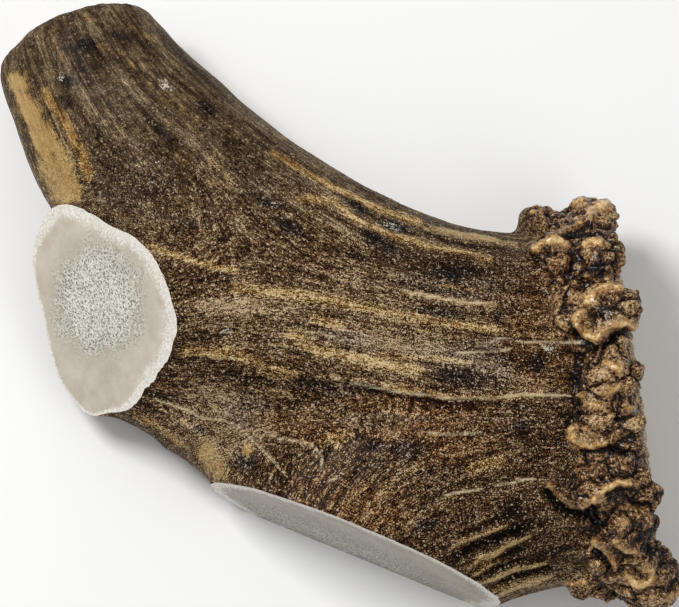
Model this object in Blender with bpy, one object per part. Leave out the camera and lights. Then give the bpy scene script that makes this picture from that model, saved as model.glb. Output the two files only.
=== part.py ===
"""Base section of an elk antler, split lengthwise and lying on its split face.

Units are metres and +Z is up. The split face lies on z = 0. +X runs from the sawn beam towards
the burr, and -Y from the hollow side of the beam towards the sawn brow tine.
"""

import math
import random

import bmesh
import bpy
import numpy as np
from mathutils import Matrix, Vector, noise

MM = 0.001

# Limbs, in millimetres and degrees. Each row is one station of a limb: the centre x, y, z, the half
# width across the limb, the half depth square to that, and the roll of the section.
BEAM = (
    (84, -17, 15, 33, 30, 0),
    (60, -17, 15, 30.5, 29.5, 0),
    (36, -15, 15, 29, 28.5, 0),
    (12, -9, 15.5, 29, 27, 0),
    (-10, 2.5, 16, 28.5, 25.5, 0),
    (-31.5, 18.5, 16.5, 27, 24, 0),
    (-50.5, 36.5, 16.5, 26.5, 22, 0),
    (-60.5, 51.5, 16, 23, 20.5, 0),
    (-66.8, 64.5, 15.5, 20.5, 19, 0),
    (-74, 81, 15, 19.5, 18, 0),
)
BEZ_TINE = (
    (84, -26, 15, 36, 29, 0),
    (50, -24, 15, 33, 29.5, 0),
    (20, -18, 16, 29, 28, 0),
    (-8, -13, 17, 27, 26.5, 4),
    (-32, -9, 19.5, 26.5, 24, 10),
    (-48.8, -6.5, 21.3, 25, 19.8, 26.3),
    (-59, -6.4, 24.6, 25, 19.5, 29.8),
    (-71, -7.4, 31.6, 25, 19.5, 29.8),
)
# The bez tine grows three-cornered towards its end: how far the corners swell at each station, as a
# share of the section's radii, and where the first corner is, in degrees round the section.
BEZ_CORNERS = (0, 0, 0, 0, 0.06, 0.12, 0.13, 0.13)
BEZ_CORNER_TURN = 63
BROW_TINE = (
    (84, -42, 15, 33, 29, 0),
    (60, -42.5, 15, 32, 28.5, 0),
    (38, -46, 15, 32.5, 28, 0),
    (17, -53, 15, 35, 26.5, 0),
    (3, -64, 15, 36, 24, 0),
    (-4, -84, 15, 34, 22, 0),
)
# The low saddle of bone between the two tines.
WEB = (
    (-62, -8, 14, 16.5, 10, 0),
    (-46, -17.2, 14.5, 17.5, 13, 0),
    (-21, -34, 14, 17.5, 15, 0),
    (4, -50.5, 15, 18, 20, 0),
)
STATION_SPLITS = 8
RING_SIDES = 44

# Saw cuts: a point on the cut, and the direction in which the waste lay.
BEAM_CUT = (Vector((-66, 64, 15)) * MM, Vector((-0.363, 0.903, -0.23)))
BEZ_CUT = (Vector((-58.6, -8, 26.3)) * MM, Vector((-0.66, -0.347, 0.658)))
BROW_CUT = (Vector((-26.9, -51.7, 0)) * MM, Vector((-0.388, -0.922, 0)))
SPLIT_CUT = (Vector((0, 0, 0)), Vector((0, 0, -1)))

# The burr: a collar round the base, square to its axis, with knobs and pearls standing on it.
BURR_CENTRE = Vector((67.8, -28.8, 15)) * MM
BURR_AXIS = Vector((0.992, 0.129, 0))
BURR_HALF_WIDTH = 47 * MM
BURR_HALF_DEPTH = 34 * MM
# The seal, by which the antler once sat on the skull: a dome inside the collar.
SEAL_CUT = (BURR_CENTRE + 2.5 * MM * BURR_AXIS, BURR_AXIS)
SEAL_BULGE = 4 * MM
SEAL_SHARE = 0.84
# Along the axis from the centre, in millimetres, and the share of the full radii there.
COLLAR_PROFILE = ((-18, 0.8), (-10, 0.87), (-6, 0.95), (-1, 1), (3, 0.98), (4.5, 0.92), (6, 0.8))
# Knobs: degrees round the collar from the brow side, distance along the axis, radius round the
# collar, radius along the axis, and height over the collar, in millimetres.
KNOBS = (
    (176, 0, 6.5, 7, 5.5),
    (171, -12, 5, 5.5, 5),
    (158, 1, 6, 7, 4.5),
    (148, -1, 6, 8, 4),
    (140, -11, 2.5, 5, 4.5),
    (139, -1, 2.5, 3.5, 5),
    (133, 2, 7, 6, 4),
    (110, 1, 6.5, 9.2, 6),
    (101, 0, 3, 5, 2.5),
    (87, -1, 5.5, 8.3, 5.5),
    (75, -4, 5, 8.3, 5.5),
    (67, 1, 3.5, 4.5, 3),
    (56, -6.5, 6.8, 11.5, 6.5),
    (40, -2, 7, 8.8, 6),
    (29, 0, 5, 7, 5),
    (23, -7, 5.5, 5, 4),
    (9, 2.8, 9.5, 9, 9),
    (7, -14, 2.5, 3, 3.5),
)
PEARLS = 110
PEARL_RADIUS = (1.2, 2.6)
PEARL_BAND = (-12, 5.5)
SEED = 11

# Furrows along the grain: height, width across the grain and length along it, in millimetres.
FURROW_HEIGHT = 0.9
FURROW_WIDTH = 7
FURROW_LENGTH = 60
# How far along a limb a point looks for its place, and how sharply the grain turns between limbs.
NEARBY = 8 * MM
GRAIN_SHARPNESS = 6

# Skins: the grid on which shapes are fused, and how many times the result is smoothed.
BODY_VOXEL = 1.8 * MM
BLEND_PASSES = 22
KNOB_VOXEL = 1.2 * MM
KNOB_PASSES = 1
TRIANGLES_BEFORE_SPLIT = 12600

BARK_COLOUR = (0.107, 0.063, 0.031, 1)
BARK_ROUGHNESS = 0.6


def spline_rows(stations):
    """The stations of a limb with more between them, on a Catmull-Rom curve, in metres."""
    rows = np.array(stations, float) * ([MM] * 5 + [math.pi / 180])
    padded = np.vstack([2 * rows[0] - rows[1], rows, 2 * rows[-1] - rows[-2]])
    shares = np.arange(STATION_SPLITS)[:, None] / STATION_SPLITS
    spans = []
    for before, start, end, after in zip(padded, padded[1:], padded[2:], padded[3:]):
        spans.append(
            start
            + 0.5 * shares * (end - before)
            + shares**2 * (before - 2.5 * start + 2 * end - 0.5 * after)
            + shares**3 * (1.5 * (start - end) + 0.5 * (after - before))
        )
    return np.vstack([*spans, rows[-1]])


def section_frames(rows):
    """Each station's direction across the limb, and the one square to it."""
    tangents = np.gradient(rows[:, :3], axis=0)
    tangents /= np.linalg.norm(tangents, axis=1)[:, None]
    level = np.cross(tangents, (0, 0, 1))
    level /= np.linalg.norm(level, axis=1)[:, None]
    upright = np.cross(level, tangents)
    cosine, sine = np.cos(rows[:, 5:]), np.sin(rows[:, 5:])
    return cosine * level + sine * upright, cosine * upright - sine * level


def along_limb(points, stations):
    """Where points lie beside one limb, in its first section's metres: along it, across it and up it.
    The last value is how far out they are, where 1 is on the limb's skin."""
    rows = spline_rows(stations)
    sides, ups = section_frames(rows)
    steps = np.linalg.norm(np.diff(rows[:, :3], axis=0), axis=1)
    lengths = np.concatenate(([0], np.cumsum(steps)))
    offsets = points[:, None, :] - rows[None, :, :3]
    squares = (offsets**2).sum(2)
    weights = np.exp((squares.min(1)[:, None] - squares) / (2 * NEARBY**2))
    weights /= weights.sum(1)[:, None]
    across = (weights * (offsets * sides).sum(2) / rows[:, 3]).sum(1)
    up = (weights * (offsets * ups).sum(2) / rows[:, 4]).sum(1)
    along = (weights * lengths).sum(1)
    straight = np.stack((along, rows[0, 1] + across * rows[0, 3], up * rows[0, 4]), 1)
    return straight, np.hypot(across, up)


def grain_of(points):
    """Coordinates in which the bone's grain is straight and runs along the first axis. The last value
    is how surely a point belongs to one limb, from a half to 1."""
    placed = [along_limb(points, stations) for stations in (BEAM, BEZ_TINE, BROW_TINE)]
    weights = np.exp([-GRAIN_SHARPNESS * outward for _, outward in placed])
    weights /= weights.sum(0)
    straight = sum(weight[:, None] * place for weight, (place, _) in zip(weights, placed))
    return straight, weights.max(0)


def add_loft(bm, rings):
    """A closed tube through rings of points."""
    loops = [[bm.verts.new(point) for point in ring] for ring in rings]
    for loop, following in zip(loops, loops[1:]):
        for step in range(len(loop)):
            beside = (step + 1) % len(loop)
            bm.faces.new((loop[step], loop[beside], following[beside], following[step]))
    bm.faces.new(reversed(loops[0]))
    bm.faces.new(loops[-1])


def add_limbs(bm):
    """Tubes along the beam, the tines and the web. Each section is an ellipse, which the corners of
    the bez tine swell."""
    turns = np.linspace(0, 2 * math.pi, RING_SIDES, endpoint=False)[:, None]
    corners = np.cos(3 * (turns - math.radians(BEZ_CORNER_TURN)))
    for stations in (BEAM, BEZ_TINE, BROW_TINE, WEB):
        rows = spline_rows(stations)
        swells = BEZ_CORNERS if stations is BEZ_TINE else [0] * len(stations)
        swells = np.interp(np.arange(len(rows)) / STATION_SPLITS, range(len(stations)), swells)
        rings = []
        for row, side, up, swell in zip(rows, *section_frames(rows), swells):
            ellipse = row[3] * np.cos(turns) * side + row[4] * np.sin(turns) * up
            rings.append(row[:3] + (1 + swell * corners) * ellipse)
        add_loft(bm, rings)


def collar_point(turn, along, share=1):
    """A point of the burr: degrees round it from the brow side, millimetres along its axis, and the
    share of its radii."""
    angle = math.radians(turn)
    across = Vector((0, 0, 1)).cross(BURR_AXIS)
    return (
        BURR_CENTRE
        + along * MM * BURR_AXIS
        - share * BURR_HALF_WIDTH * math.cos(angle) * across
        + share * BURR_HALF_DEPTH * math.sin(angle) * Vector((0, 0, 1))
    )


def add_collar(bm):
    turns = np.linspace(0, 360, 2 * RING_SIDES, endpoint=False)
    add_loft(
        bm, [[collar_point(turn, along, share) for turn in turns] for along, share in COLLAR_PROFILE]
    )


def add_ellipsoid(bm, centre, radii):
    """A round form with its middle and three radii given as vectors."""
    place = Matrix.Translation(centre) @ Matrix(radii).transposed().to_4x4()
    bmesh.ops.create_icosphere(bm, subdivisions=3, radius=1, matrix=place)


def add_seal(bm):
    """The shallow dome inside the collar."""
    upward = Vector((0, 0, SEAL_SHARE * BURR_HALF_DEPTH))
    across = Vector((0, 0, SEAL_SHARE * BURR_HALF_WIDTH)).cross(BURR_AXIS)
    add_ellipsoid(bm, SEAL_CUT[0], (BURR_AXIS * SEAL_BULGE, across, upward))


def add_knob(bm, turn, along, radius_round, radius_along, height):
    """A half-sunk ellipsoid on the collar."""
    foot = collar_point(turn, along)
    round_way = (collar_point(turn + 1, along) - foot).normalized()
    outward = BURR_AXIS.cross(round_way)
    radii = Matrix((BURR_AXIS * radius_along, round_way * radius_round, outward * height))
    add_ellipsoid(bm, foot, radii * MM)


def add_burr(bm):
    """The collar, the seal in it, the knobs, and pearls of bone scattered over them."""
    add_collar(bm)
    add_seal(bm)
    for knob in KNOBS:
        add_knob(bm, *knob)
    rng = random.Random(SEED)
    for _ in range(PEARLS):
        turn, along = rng.uniform(2, 178), rng.uniform(*PEARL_BAND)
        radius = rng.uniform(*PEARL_RADIUS)
        add_knob(bm, turn, along, radius, radius * rng.uniform(0.9, 1.6), radius * rng.uniform(0.9, 1.8))


def furrow(bm):
    """Raises long low ridges along the grain of the bark, and leaves the sawn end and the seal flat."""
    bm.normal_update()
    grain, sure = grain_of(np.array([vert.co for vert in bm.verts]))
    for vert, (along, across, up), calm in zip(bm.verts, grain / MM, 2 * sure - 1):
        place = Vector((along / FURROW_LENGTH, across / FURROW_WIDTH, up / FURROW_WIDTH))
        on_end = max(0, vert.normal.dot(BEAM_CUT[1]), vert.normal.dot(BURR_AXIS))
        height = FURROW_HEIGHT * MM * max(0, calm) * (1 - on_end**2)
        vert.co += vert.normal * noise.noise(place) * height


def saw(bm, cut):
    """Cuts along a plane, drops the waste and closes the cut with a flat face."""
    point, normal = cut
    parts = bm.verts[:] + bm.edges[:] + bm.faces[:]
    bmesh.ops.bisect_plane(
        bm, geom=parts, dist=1e-7, plane_co=point, plane_no=normal, clear_outer=True
    )
    rim = [edge for edge in bm.edges if edge.is_boundary]
    bmesh.ops.triangle_fill(bm, edges=rim, use_beauty=True, use_dissolve=False, normal=normal)


def edit(obj, step, *settings):
    """Runs one bmesh step on the object's mesh."""
    bm = bmesh.new()
    bm.from_mesh(obj.data)
    step(bm, *settings)
    bm.to_mesh(obj.data)
    bm.free()


def apply_modifiers(obj):
    graph = bpy.context.evaluated_depsgraph_get()
    mesh = bpy.data.meshes.new_from_object(obj.evaluated_get(graph))
    obj.modifiers.clear()
    obj.data = mesh


def fuse(obj, voxel, passes):
    """Joins overlapping closed shapes into one skin and eases the creases between them."""
    remesh = obj.modifiers.new("one_skin", "REMESH")
    remesh.mode = "VOXEL"
    remesh.voxel_size = voxel
    ease = obj.modifiers.new("ease", "SMOOTH")
    ease.iterations = passes
    apply_modifiers(obj)


def thin_out(obj, triangles):
    """Keeps about this many triangles, where the shape needs them most."""
    now = sum(len(face.vertices) - 2 for face in obj.data.polygons)
    decimate = obj.modifiers.new("fewer_faces", "DECIMATE")
    decimate.ratio = triangles / now
    apply_modifiers(obj)


def centre_on_origin(bm):
    """Moves the mesh level, so that the middle of its box is over the origin."""
    corners = np.array([vert.co for vert in bm.verts])
    middle = (corners.min(0) + corners.max(0)) / 2
    bmesh.ops.translate(bm, verts=bm.verts, vec=(-middle[0], -middle[1], 0))


def bark_material():
    material = bpy.data.materials.new("antler_bark")
    material.use_nodes = True
    surface = material.node_tree.nodes["Principled BSDF"]
    surface.inputs["Base Color"].default_value = BARK_COLOUR
    surface.inputs["Roughness"].default_value = BARK_ROUGHNESS
    surface.inputs["Metallic"].default_value = 0
    return material


def main():
    for obj in list(bpy.data.objects):
        bpy.data.objects.remove(obj)
    antler = bpy.data.objects.new("antler", bpy.data.meshes.new("antler"))
    bpy.context.scene.collection.objects.link(antler)
    edit(antler, add_limbs)
    fuse(antler, BODY_VOXEL, 0)
    edit(antler, saw, BEAM_CUT)
    edit(antler, saw, SEAL_CUT)
    fuse(antler, BODY_VOXEL, BLEND_PASSES)
    edit(antler, add_burr)
    fuse(antler, KNOB_VOXEL, KNOB_PASSES)
    edit(antler, furrow)
    thin_out(antler, TRIANGLES_BEFORE_SPLIT)
    for cut in (BEZ_CUT, BROW_CUT, SPLIT_CUT):
        edit(antler, saw, cut)
    edit(antler, centre_on_origin)
    antler.data.materials.append(bark_material())
    antler.data.shade_smooth()
    antler.data.set_sharp_from_angle(angle=math.radians(40))


main()
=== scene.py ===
# %% [markdown]
# # A split elk antler base, dressed for its portrait
#
# The object is the base of an elk's antler, sawn from the rest and split lengthwise into a dog
# chew. It is one piece of bone with three looks. The skin is brown, furrowed antler bark. The burr
# is a ring of knobs at the end that once sat on the skull. The sawn faces show white bone round a
# spongy core.
#
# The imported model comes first. It gives the true size and the place of everything that follows.
# Lengths on the piece are written in millimetres, and MM turns them into Blender's metres. Only
# the studio round it is written in metres.

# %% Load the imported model
import math
import random

import bmesh
import bpy
import numpy as np
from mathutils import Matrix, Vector, geometry, kdtree, noise


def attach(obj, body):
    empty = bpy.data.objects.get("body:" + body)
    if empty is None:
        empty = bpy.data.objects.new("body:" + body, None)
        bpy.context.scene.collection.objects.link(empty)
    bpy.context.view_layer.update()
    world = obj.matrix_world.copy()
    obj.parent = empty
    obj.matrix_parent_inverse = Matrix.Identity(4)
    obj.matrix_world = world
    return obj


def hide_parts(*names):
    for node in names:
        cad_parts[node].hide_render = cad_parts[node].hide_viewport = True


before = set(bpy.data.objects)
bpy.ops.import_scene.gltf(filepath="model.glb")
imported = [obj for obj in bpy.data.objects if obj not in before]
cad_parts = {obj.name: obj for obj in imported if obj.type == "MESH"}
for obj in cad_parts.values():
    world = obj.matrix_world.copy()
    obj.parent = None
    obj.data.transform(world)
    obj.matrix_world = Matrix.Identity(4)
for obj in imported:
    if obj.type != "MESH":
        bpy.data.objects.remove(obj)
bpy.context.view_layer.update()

MM = 0.001
cad_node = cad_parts["antler"]
print("the solid holds", len(cad_node.data.polygons), "faces")

# %% [markdown]
# ## The three limbs
#
# Bone grows along the antler, so every furrow and every streak of colour follows the limb it is
# on: the main beam, the bez tine that points up and left, or the brow tine that points down. Noise
# in plain x, y, z can't follow a bend. The way round that is to give each point of the skin its
# place along, across and up its limb, as if the limb had been pulled straight. A limb is a row of
# stations, each a centre, a half width, a half depth and a roll in degrees.

# %% Stations of the limbs
# x, y and z of the centre, half width, half depth, roll
BEAM = (
    (84, -17, 15, 33, 30, 0),
    (60, -17, 15, 30.5, 29.5, 0),
    (36, -15, 15, 29, 28.5, 0),
    (12, -9, 15.5, 29, 27, 0),
    (-10, 2.5, 16, 28.5, 25.5, 0),
    (-31.5, 18.5, 16.5, 27, 24, 0),
    (-50.5, 36.5, 16.5, 26.5, 22, 0),
    (-60.5, 51.5, 16, 23, 20.5, 0),
    (-66.8, 64.5, 15.5, 20.5, 19, 0),
    (-74, 81, 15, 19.5, 18, 0),
)
BEZ_TINE = (
    (84, -26, 15, 36, 29, 0),
    (50, -24, 15, 33, 29.5, 0),
    (20, -18, 16, 29, 28, 0),
    (-8, -13, 17, 27, 26.5, 4),
    (-32, -9, 19.5, 26.5, 24, 10),
    (-48.8, -6.5, 21.3, 25, 19.8, 26.3),
    (-59, -6.4, 24.6, 25, 19.5, 29.8),
    (-71, -7.4, 31.6, 25, 19.5, 29.8),
)
BROW_TINE = (
    (84, -42, 15, 33, 29, 0),
    (60, -42.5, 15, 32, 28.5, 0),
    (38, -46, 15, 32.5, 28, 0),
    (17, -53, 15, 35, 26.5, 0),
    (3, -64, 15, 36, 24, 0),
    (-4, -84, 15, 34, 22, 0),
)
LIMBS = (BEAM, BEZ_TINE, BROW_TINE)
# The stations were drawn before the piece was centred on the origin. This is how far it moved.
CENTRED_BY = np.array((-0.28, 5.92, 0))
STEPS_BETWEEN_STATIONS = 8


def limb_curve(stations):
    """The stations of a limb, with more between them on a smooth curve through them all."""
    rows = np.array(stations, float)
    rows[:, 5] = np.radians(rows[:, 5])
    padded = np.vstack([2 * rows[0] - rows[1], rows, 2 * rows[-1] - rows[-2]])
    share = np.linspace(0, 1, STEPS_BETWEEN_STATIONS, endpoint=False)[:, None]
    spans = []
    # The weights are those of a Catmull-Rom curve, which passes through every one of its points.
    for before, start, end, after in zip(padded, padded[1:], padded[2:], padded[3:]):
        spans.append(
            start
            + 0.5 * share * (end - before)
            + share**2 * (before - 2.5 * start + 2 * end - 0.5 * after)
            + share**3 * (1.5 * (start - end) + 0.5 * (after - before))
        )
    return np.vstack([*spans, rows[-1]])


print("stations on each curve:", [len(limb_curve(stations)) for stations in LIMBS])

# %% [markdown]
# ## Straight grain
#
# A point looks for the stations near it and takes a soft average of its offset from them, measured
# across and up the limb in shares of the limb's radii. Where two limbs meet, the point takes a mix
# of both answers, weighted towards the limb whose skin it is nearest to. The result is smooth, so
# furrows flow from one limb into the next as they do on the real antler.

# %% Grain coordinates
# A point looks about this many millimetres around it. A sharper choice blends two limbs over less
# skin.
LOOKS_AROUND = 8
SHARP_CHOICE = 6


def beside_limb(points, stations):
    """Along, across and up one limb in millimetres, and how far out: 1 is the limb's skin."""
    rows = limb_curve(stations)
    tangents = np.gradient(rows[:, :3], axis=0)
    tangents /= np.linalg.norm(tangents, axis=1)[:, None]
    level = np.cross(tangents, (0, 0, 1))
    level /= np.linalg.norm(level, axis=1)[:, None]
    upright = np.cross(level, tangents)
    cosine, sine = np.cos(rows[:, 5:]), np.sin(rows[:, 5:])
    sides, ups = cosine * level + sine * upright, cosine * upright - sine * level
    steps = np.linalg.norm(np.diff(rows[:, :3], axis=0), axis=1)
    lengths = np.concatenate(([0], np.cumsum(steps)))
    offsets = points[:, None, :] - rows[None, :, :3]
    squares = (offsets**2).sum(2)
    weights = np.exp((squares.min(1)[:, None] - squares) / (2 * LOOKS_AROUND**2))
    weights /= weights.sum(1)[:, None]
    across = (weights * (offsets * sides).sum(2) / rows[:, 3]).sum(1)
    up = (weights * (offsets * ups).sum(2) / rows[:, 4]).sum(1)
    along = (weights * lengths).sum(1)
    straight = np.stack((along, rows[0, 1] + across * rows[0, 3], up * rows[0, 4]), 1)
    return straight, np.hypot(across, up)


def grain_of(points, chunk=8000):
    """Straight-grain coordinates, worked out for a chunk of the points at a time."""
    grains = []
    for start in range(0, len(points), chunk):
        some = points[start : start + chunk] - CENTRED_BY
        placed = [beside_limb(some, stations) for stations in LIMBS]
        weights = np.exp([-SHARP_CHOICE * outward for _, outward in placed])
        weights /= weights.sum(0)
        grains.append(sum(w[:, None] * place for w, (place, _) in zip(weights, placed)))
    return np.vstack(grains)


on_the_skin = np.array(((0, 0, 40), (-60, 60, 35)))
print("grain place of two points on the skin:", grain_of(on_the_skin).round(1).tolist())

# %% [markdown]
# ## Where the saw went
#
# The piece has four flat cuts: across the beam, the bez tine and the brow tine, and the long split
# that it lies on. Each cut's direction is known from the design, and its depth is read from the
# model itself: the flat faces that look that way all lie on one plane.

# %% Saw planes
CUT_DIRECTIONS = {
    "bez": (-0.66, -0.347, 0.658),
    "brow": (-0.388, -0.922, 0),
    "beam": (-0.363, 0.903, -0.23),
    "split": (0, 0, -1),
}
# Faces belong to one cut when they look the same way, to 1.8 degrees, and lie at the same depth.
# The cosine of that angle is what a dot product of two directions can be compared with.
SAME_WAY = 0.9995
SAME_DEPTH = 0.05 * MM
WELD = 1e-6


def flat_faces(faces, direction):
    """The faces of the model that look this way, and lie on one plane."""
    looking = [face for face in faces if face.normal.dot(direction) > SAME_WAY]
    depths = np.array([face.calc_center_median().dot(direction) for face in looking])
    areas = np.array([face.calc_area() for face in looking])
    order = np.argsort(depths)
    middle = depths[order][np.searchsorted(np.cumsum(areas[order]), areas.sum() / 2)]
    return [f for f, depth in zip(looking, depths) if abs(depth - middle) < SAME_DEPTH], middle


skin = bmesh.new()
skin.from_mesh(cad_node.data)
bmesh.ops.remove_doubles(skin, verts=skin.verts, dist=WELD)
skin.normal_update()
cuts = {}
for name, direction in CUT_DIRECTIONS.items():
    direction = Vector(direction).normalized()
    found, depth = flat_faces(skin.faces, direction)
    cuts[name] = (direction * depth, direction)
    print(name, "cut:", len(found), "flat faces,", round(depth / MM, 2), "mm from the origin")

# %% [markdown]
# ## Putting the waste back
#
# The solid is coarse, and its facets have to be smoothed away. Smoothing would also round the rims
# of the cuts, which are crisp on a sawn bone. So the skin is finished the way the real piece was:
# first the whole limb, then the saw. Each flat face is pulled out by a few millimetres to stand
# for the waste, and the split last, so that the other stubs are pulled down with it.

# %% Stubs of waste on each cut
WASTE = 6 * MM


def pull_out(bm, direction, length):
    """Extrudes the flat faces that look this way."""
    faces, _ = flat_faces(bm.faces, direction)
    made = bmesh.ops.extrude_face_region(bm, geom=faces)
    tips = [item for item in made["geom"] if isinstance(item, bmesh.types.BMVert)]
    bmesh.ops.translate(bm, verts=tips, vec=direction * length)
    bmesh.ops.delete(bm, geom=faces, context="FACES")
    bm.normal_update()


for _, direction in cuts.values():
    pull_out(skin, direction, WASTE)
open_edges = sum(not edge.is_manifold for edge in skin.edges)
print("edges that aren't closed after the stubs:", open_edges)

# %% [markdown]
# ## An even, fine skin
#
# Remesh in voxel mode wraps the shape in a fresh skin of even squares, about as wide as the voxel.
# An even skin takes small relief equally well everywhere. Smooth then melts the old facets. It
# works at full strength on the limbs and hardly at all on the burr, whose knobs are smaller, so a
# vertex group tells it where the burr is.

# %% Voxel remesh
SKIN_STEP = 0.9 * MM


def apply_modifiers(obj):
    """Swaps the object's mesh for the one that its modifiers make."""
    graph = bpy.context.evaluated_depsgraph_get()
    mesh = bpy.data.meshes.new_from_object(obj.evaluated_get(graph))
    obj.modifiers.clear()
    obj.data = mesh


antler = bpy.data.objects.new("antler_skin", bpy.data.meshes.new("antler_skin"))
bpy.context.scene.collection.objects.link(antler)
skin.to_mesh(antler.data)
skin.free()
remesh = antler.modifiers.new("even_skin", "REMESH")
remesh.mode = "VOXEL"
remesh.voxel_size = SKIN_STEP
apply_modifiers(antler)
print("even skin:", len(antler.data.polygons), "squares")

# %% [markdown]
# ## Finding the burr
#
# The burr is a collar, square to the base's axis. A point's place round it is told by three
# numbers: how far along the axis it is, and how far out from the axis, as a share of the collar's
# radii. From these come two soft masks: one for the knobbly collar, and one for the seal, the
# shallow dome inside it that broke off the skull when the antler was shed.

# %% Burr and seal masks
BURR_CENTRE = np.array((67.8, -28.8, 15)) + CENTRED_BY
BURR_AXIS = np.array((0.992, 0.129, 0))
BURR_HALVES = (47, 34)
# Along the axis in millimetres: where the collar and the seal rise, and how far the collar's edge
# lies back for each radius further out. Out from the axis in radii: where the seal ends.
COLLAR_RISE, SEAL_RISE = (-14, -9), (-1, 1.5)
COLLAR_LIES_BACK, LIES_BACK_FROM = 18, 0.9
SEAL_END = (0.84, 0.76)


def read_vectors(mesh, kind):
    """One vector for each vertex: "co" is its place in metres and "normal" the way it looks."""
    values = np.empty(len(mesh.vertices) * 3)
    mesh.vertices.foreach_get(kind, values)
    return values.reshape(-1, 3)


def read_points(mesh):
    return read_vectors(mesh, "co") / MM


def ease(values, low, high):
    """0 at low, 1 at high, and a smooth S between them. Low may be the larger of the two."""
    t = np.clip((values - low) / (high - low), 0, 1)
    return t * t * (3 - 2 * t)


def burr_masks(points):
    """How strongly each point belongs to the collar and to the seal, from 0 to 1."""
    offsets = points - BURR_CENTRE
    along = offsets @ BURR_AXIS
    across = offsets @ np.cross((0, 0, 1), BURR_AXIS)
    out = np.hypot(across / BURR_HALVES[0], offsets[:, 2] / BURR_HALVES[1])
    collar = ease(along + COLLAR_LIES_BACK * (out - LIES_BACK_FROM), *COLLAR_RISE)
    seal = ease(along, *SEAL_RISE) * ease(out, *SEAL_END)
    return collar * (1 - seal), seal


SMOOTHING_ROUNDS = 16
SMOOTHING_ON_BURR = 0.06
WEIGHT_LEVELS = 10
burr, seal = burr_masks(read_points(antler.data))
limb_group = antler.vertex_groups.new(name="limbs")
for level in range(WEIGHT_LEVELS + 1):
    chosen = np.flatnonzero(np.round((1 - burr) * WEIGHT_LEVELS) == level)
    limb_group.add(chosen.tolist(), max(level / WEIGHT_LEVELS, SMOOTHING_ON_BURR), "REPLACE")
smooth = antler.modifiers.new("melt_facets", "SMOOTH")
smooth.iterations = SMOOTHING_ROUNDS
smooth.vertex_group = "limbs"
apply_modifiers(antler)
antler.vertex_groups.clear()
print("burr points:", int((burr > 0.5).sum()), "seal points:", int((seal > 0.5).sum()))

# %% [markdown]
# ## Finer squares on the burr
#
# The burr carries the smallest forms, so its squares are each split in four. Splitting only where
# it is needed keeps the whole skin light.

# %% Split the burr's squares
FINER_ABOVE = 0.3
bm = bmesh.new()
bm.from_mesh(antler.data)
burr, seal = burr_masks(read_points(antler.data))
on_burr = set(np.flatnonzero(burr > FINER_ABOVE).tolist())
edges = [edge for edge in bm.edges if all(vert.index in on_burr for vert in edge.verts)]
bmesh.ops.subdivide_edges(bm, edges=edges, cuts=1, use_grid_fill=True)
bm.to_mesh(antler.data)
bm.free()
print("skin with a finer burr:", len(antler.data.polygons), "faces")

# %% [markdown]
# ## Places in the picture
#
# Noise gives a surface its family look, but a likeness comes from the forms that can be pointed
# at: the bony crests on the burr, the ribs that run down from the bez tine, the pale seams between
# them. Each was found on the photograph, so each is written as a place in it: pixels from its top
# left corner, four to the millimetre. One function turns pixels into millimetres from the middle
# of the picture, and another does the same for any point of the skin, seen from the same side. The
# same lines raise the skin here and colour it later, so colour and form can't drift apart.

# %% From pixels and points to one sheet
PICTURE_TILT = math.radians(77)
PICTURE_AIM = np.array((-0.1, 5.85, 0))
PICTURE_MIDDLE = (339.5, 303.5)
PIXELS_PER_MM = 4


def in_picture(points):
    """Millimetres right of and above the picture's middle, seen from the photograph's side."""
    right = points[:, 0] - PICTURE_AIM[0]
    above = (points[:, 1] - PICTURE_AIM[1]) * math.sin(PICTURE_TILT)
    return np.stack((right, above + points[:, 2] * math.cos(PICTURE_TILT)), 1)


def px(*pairs):
    """Points read off the photograph in pixels, in the same millimetres."""
    return [
        ((right - PICTURE_MIDDLE[0]) / PIXELS_PER_MM, (PICTURE_MIDDLE[1] - down) / PIXELS_PER_MM)
        for right, down in pairs
    ]


print("the middle of the bez face, in mm from the picture's middle:", px((107, 305)))

# %% [markdown]
# ## Crests of the burr
#
# The crests are the smooth, horn-like folds on top of the burr's knobs, where blood vessels once
# ran between the beads of bone. They could be sculpted by hand, but a written line can be checked
# against the photograph and moved by a pixel. Each row holds a half width and a height in
# millimetres, and the line that the crest follows.

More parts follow.
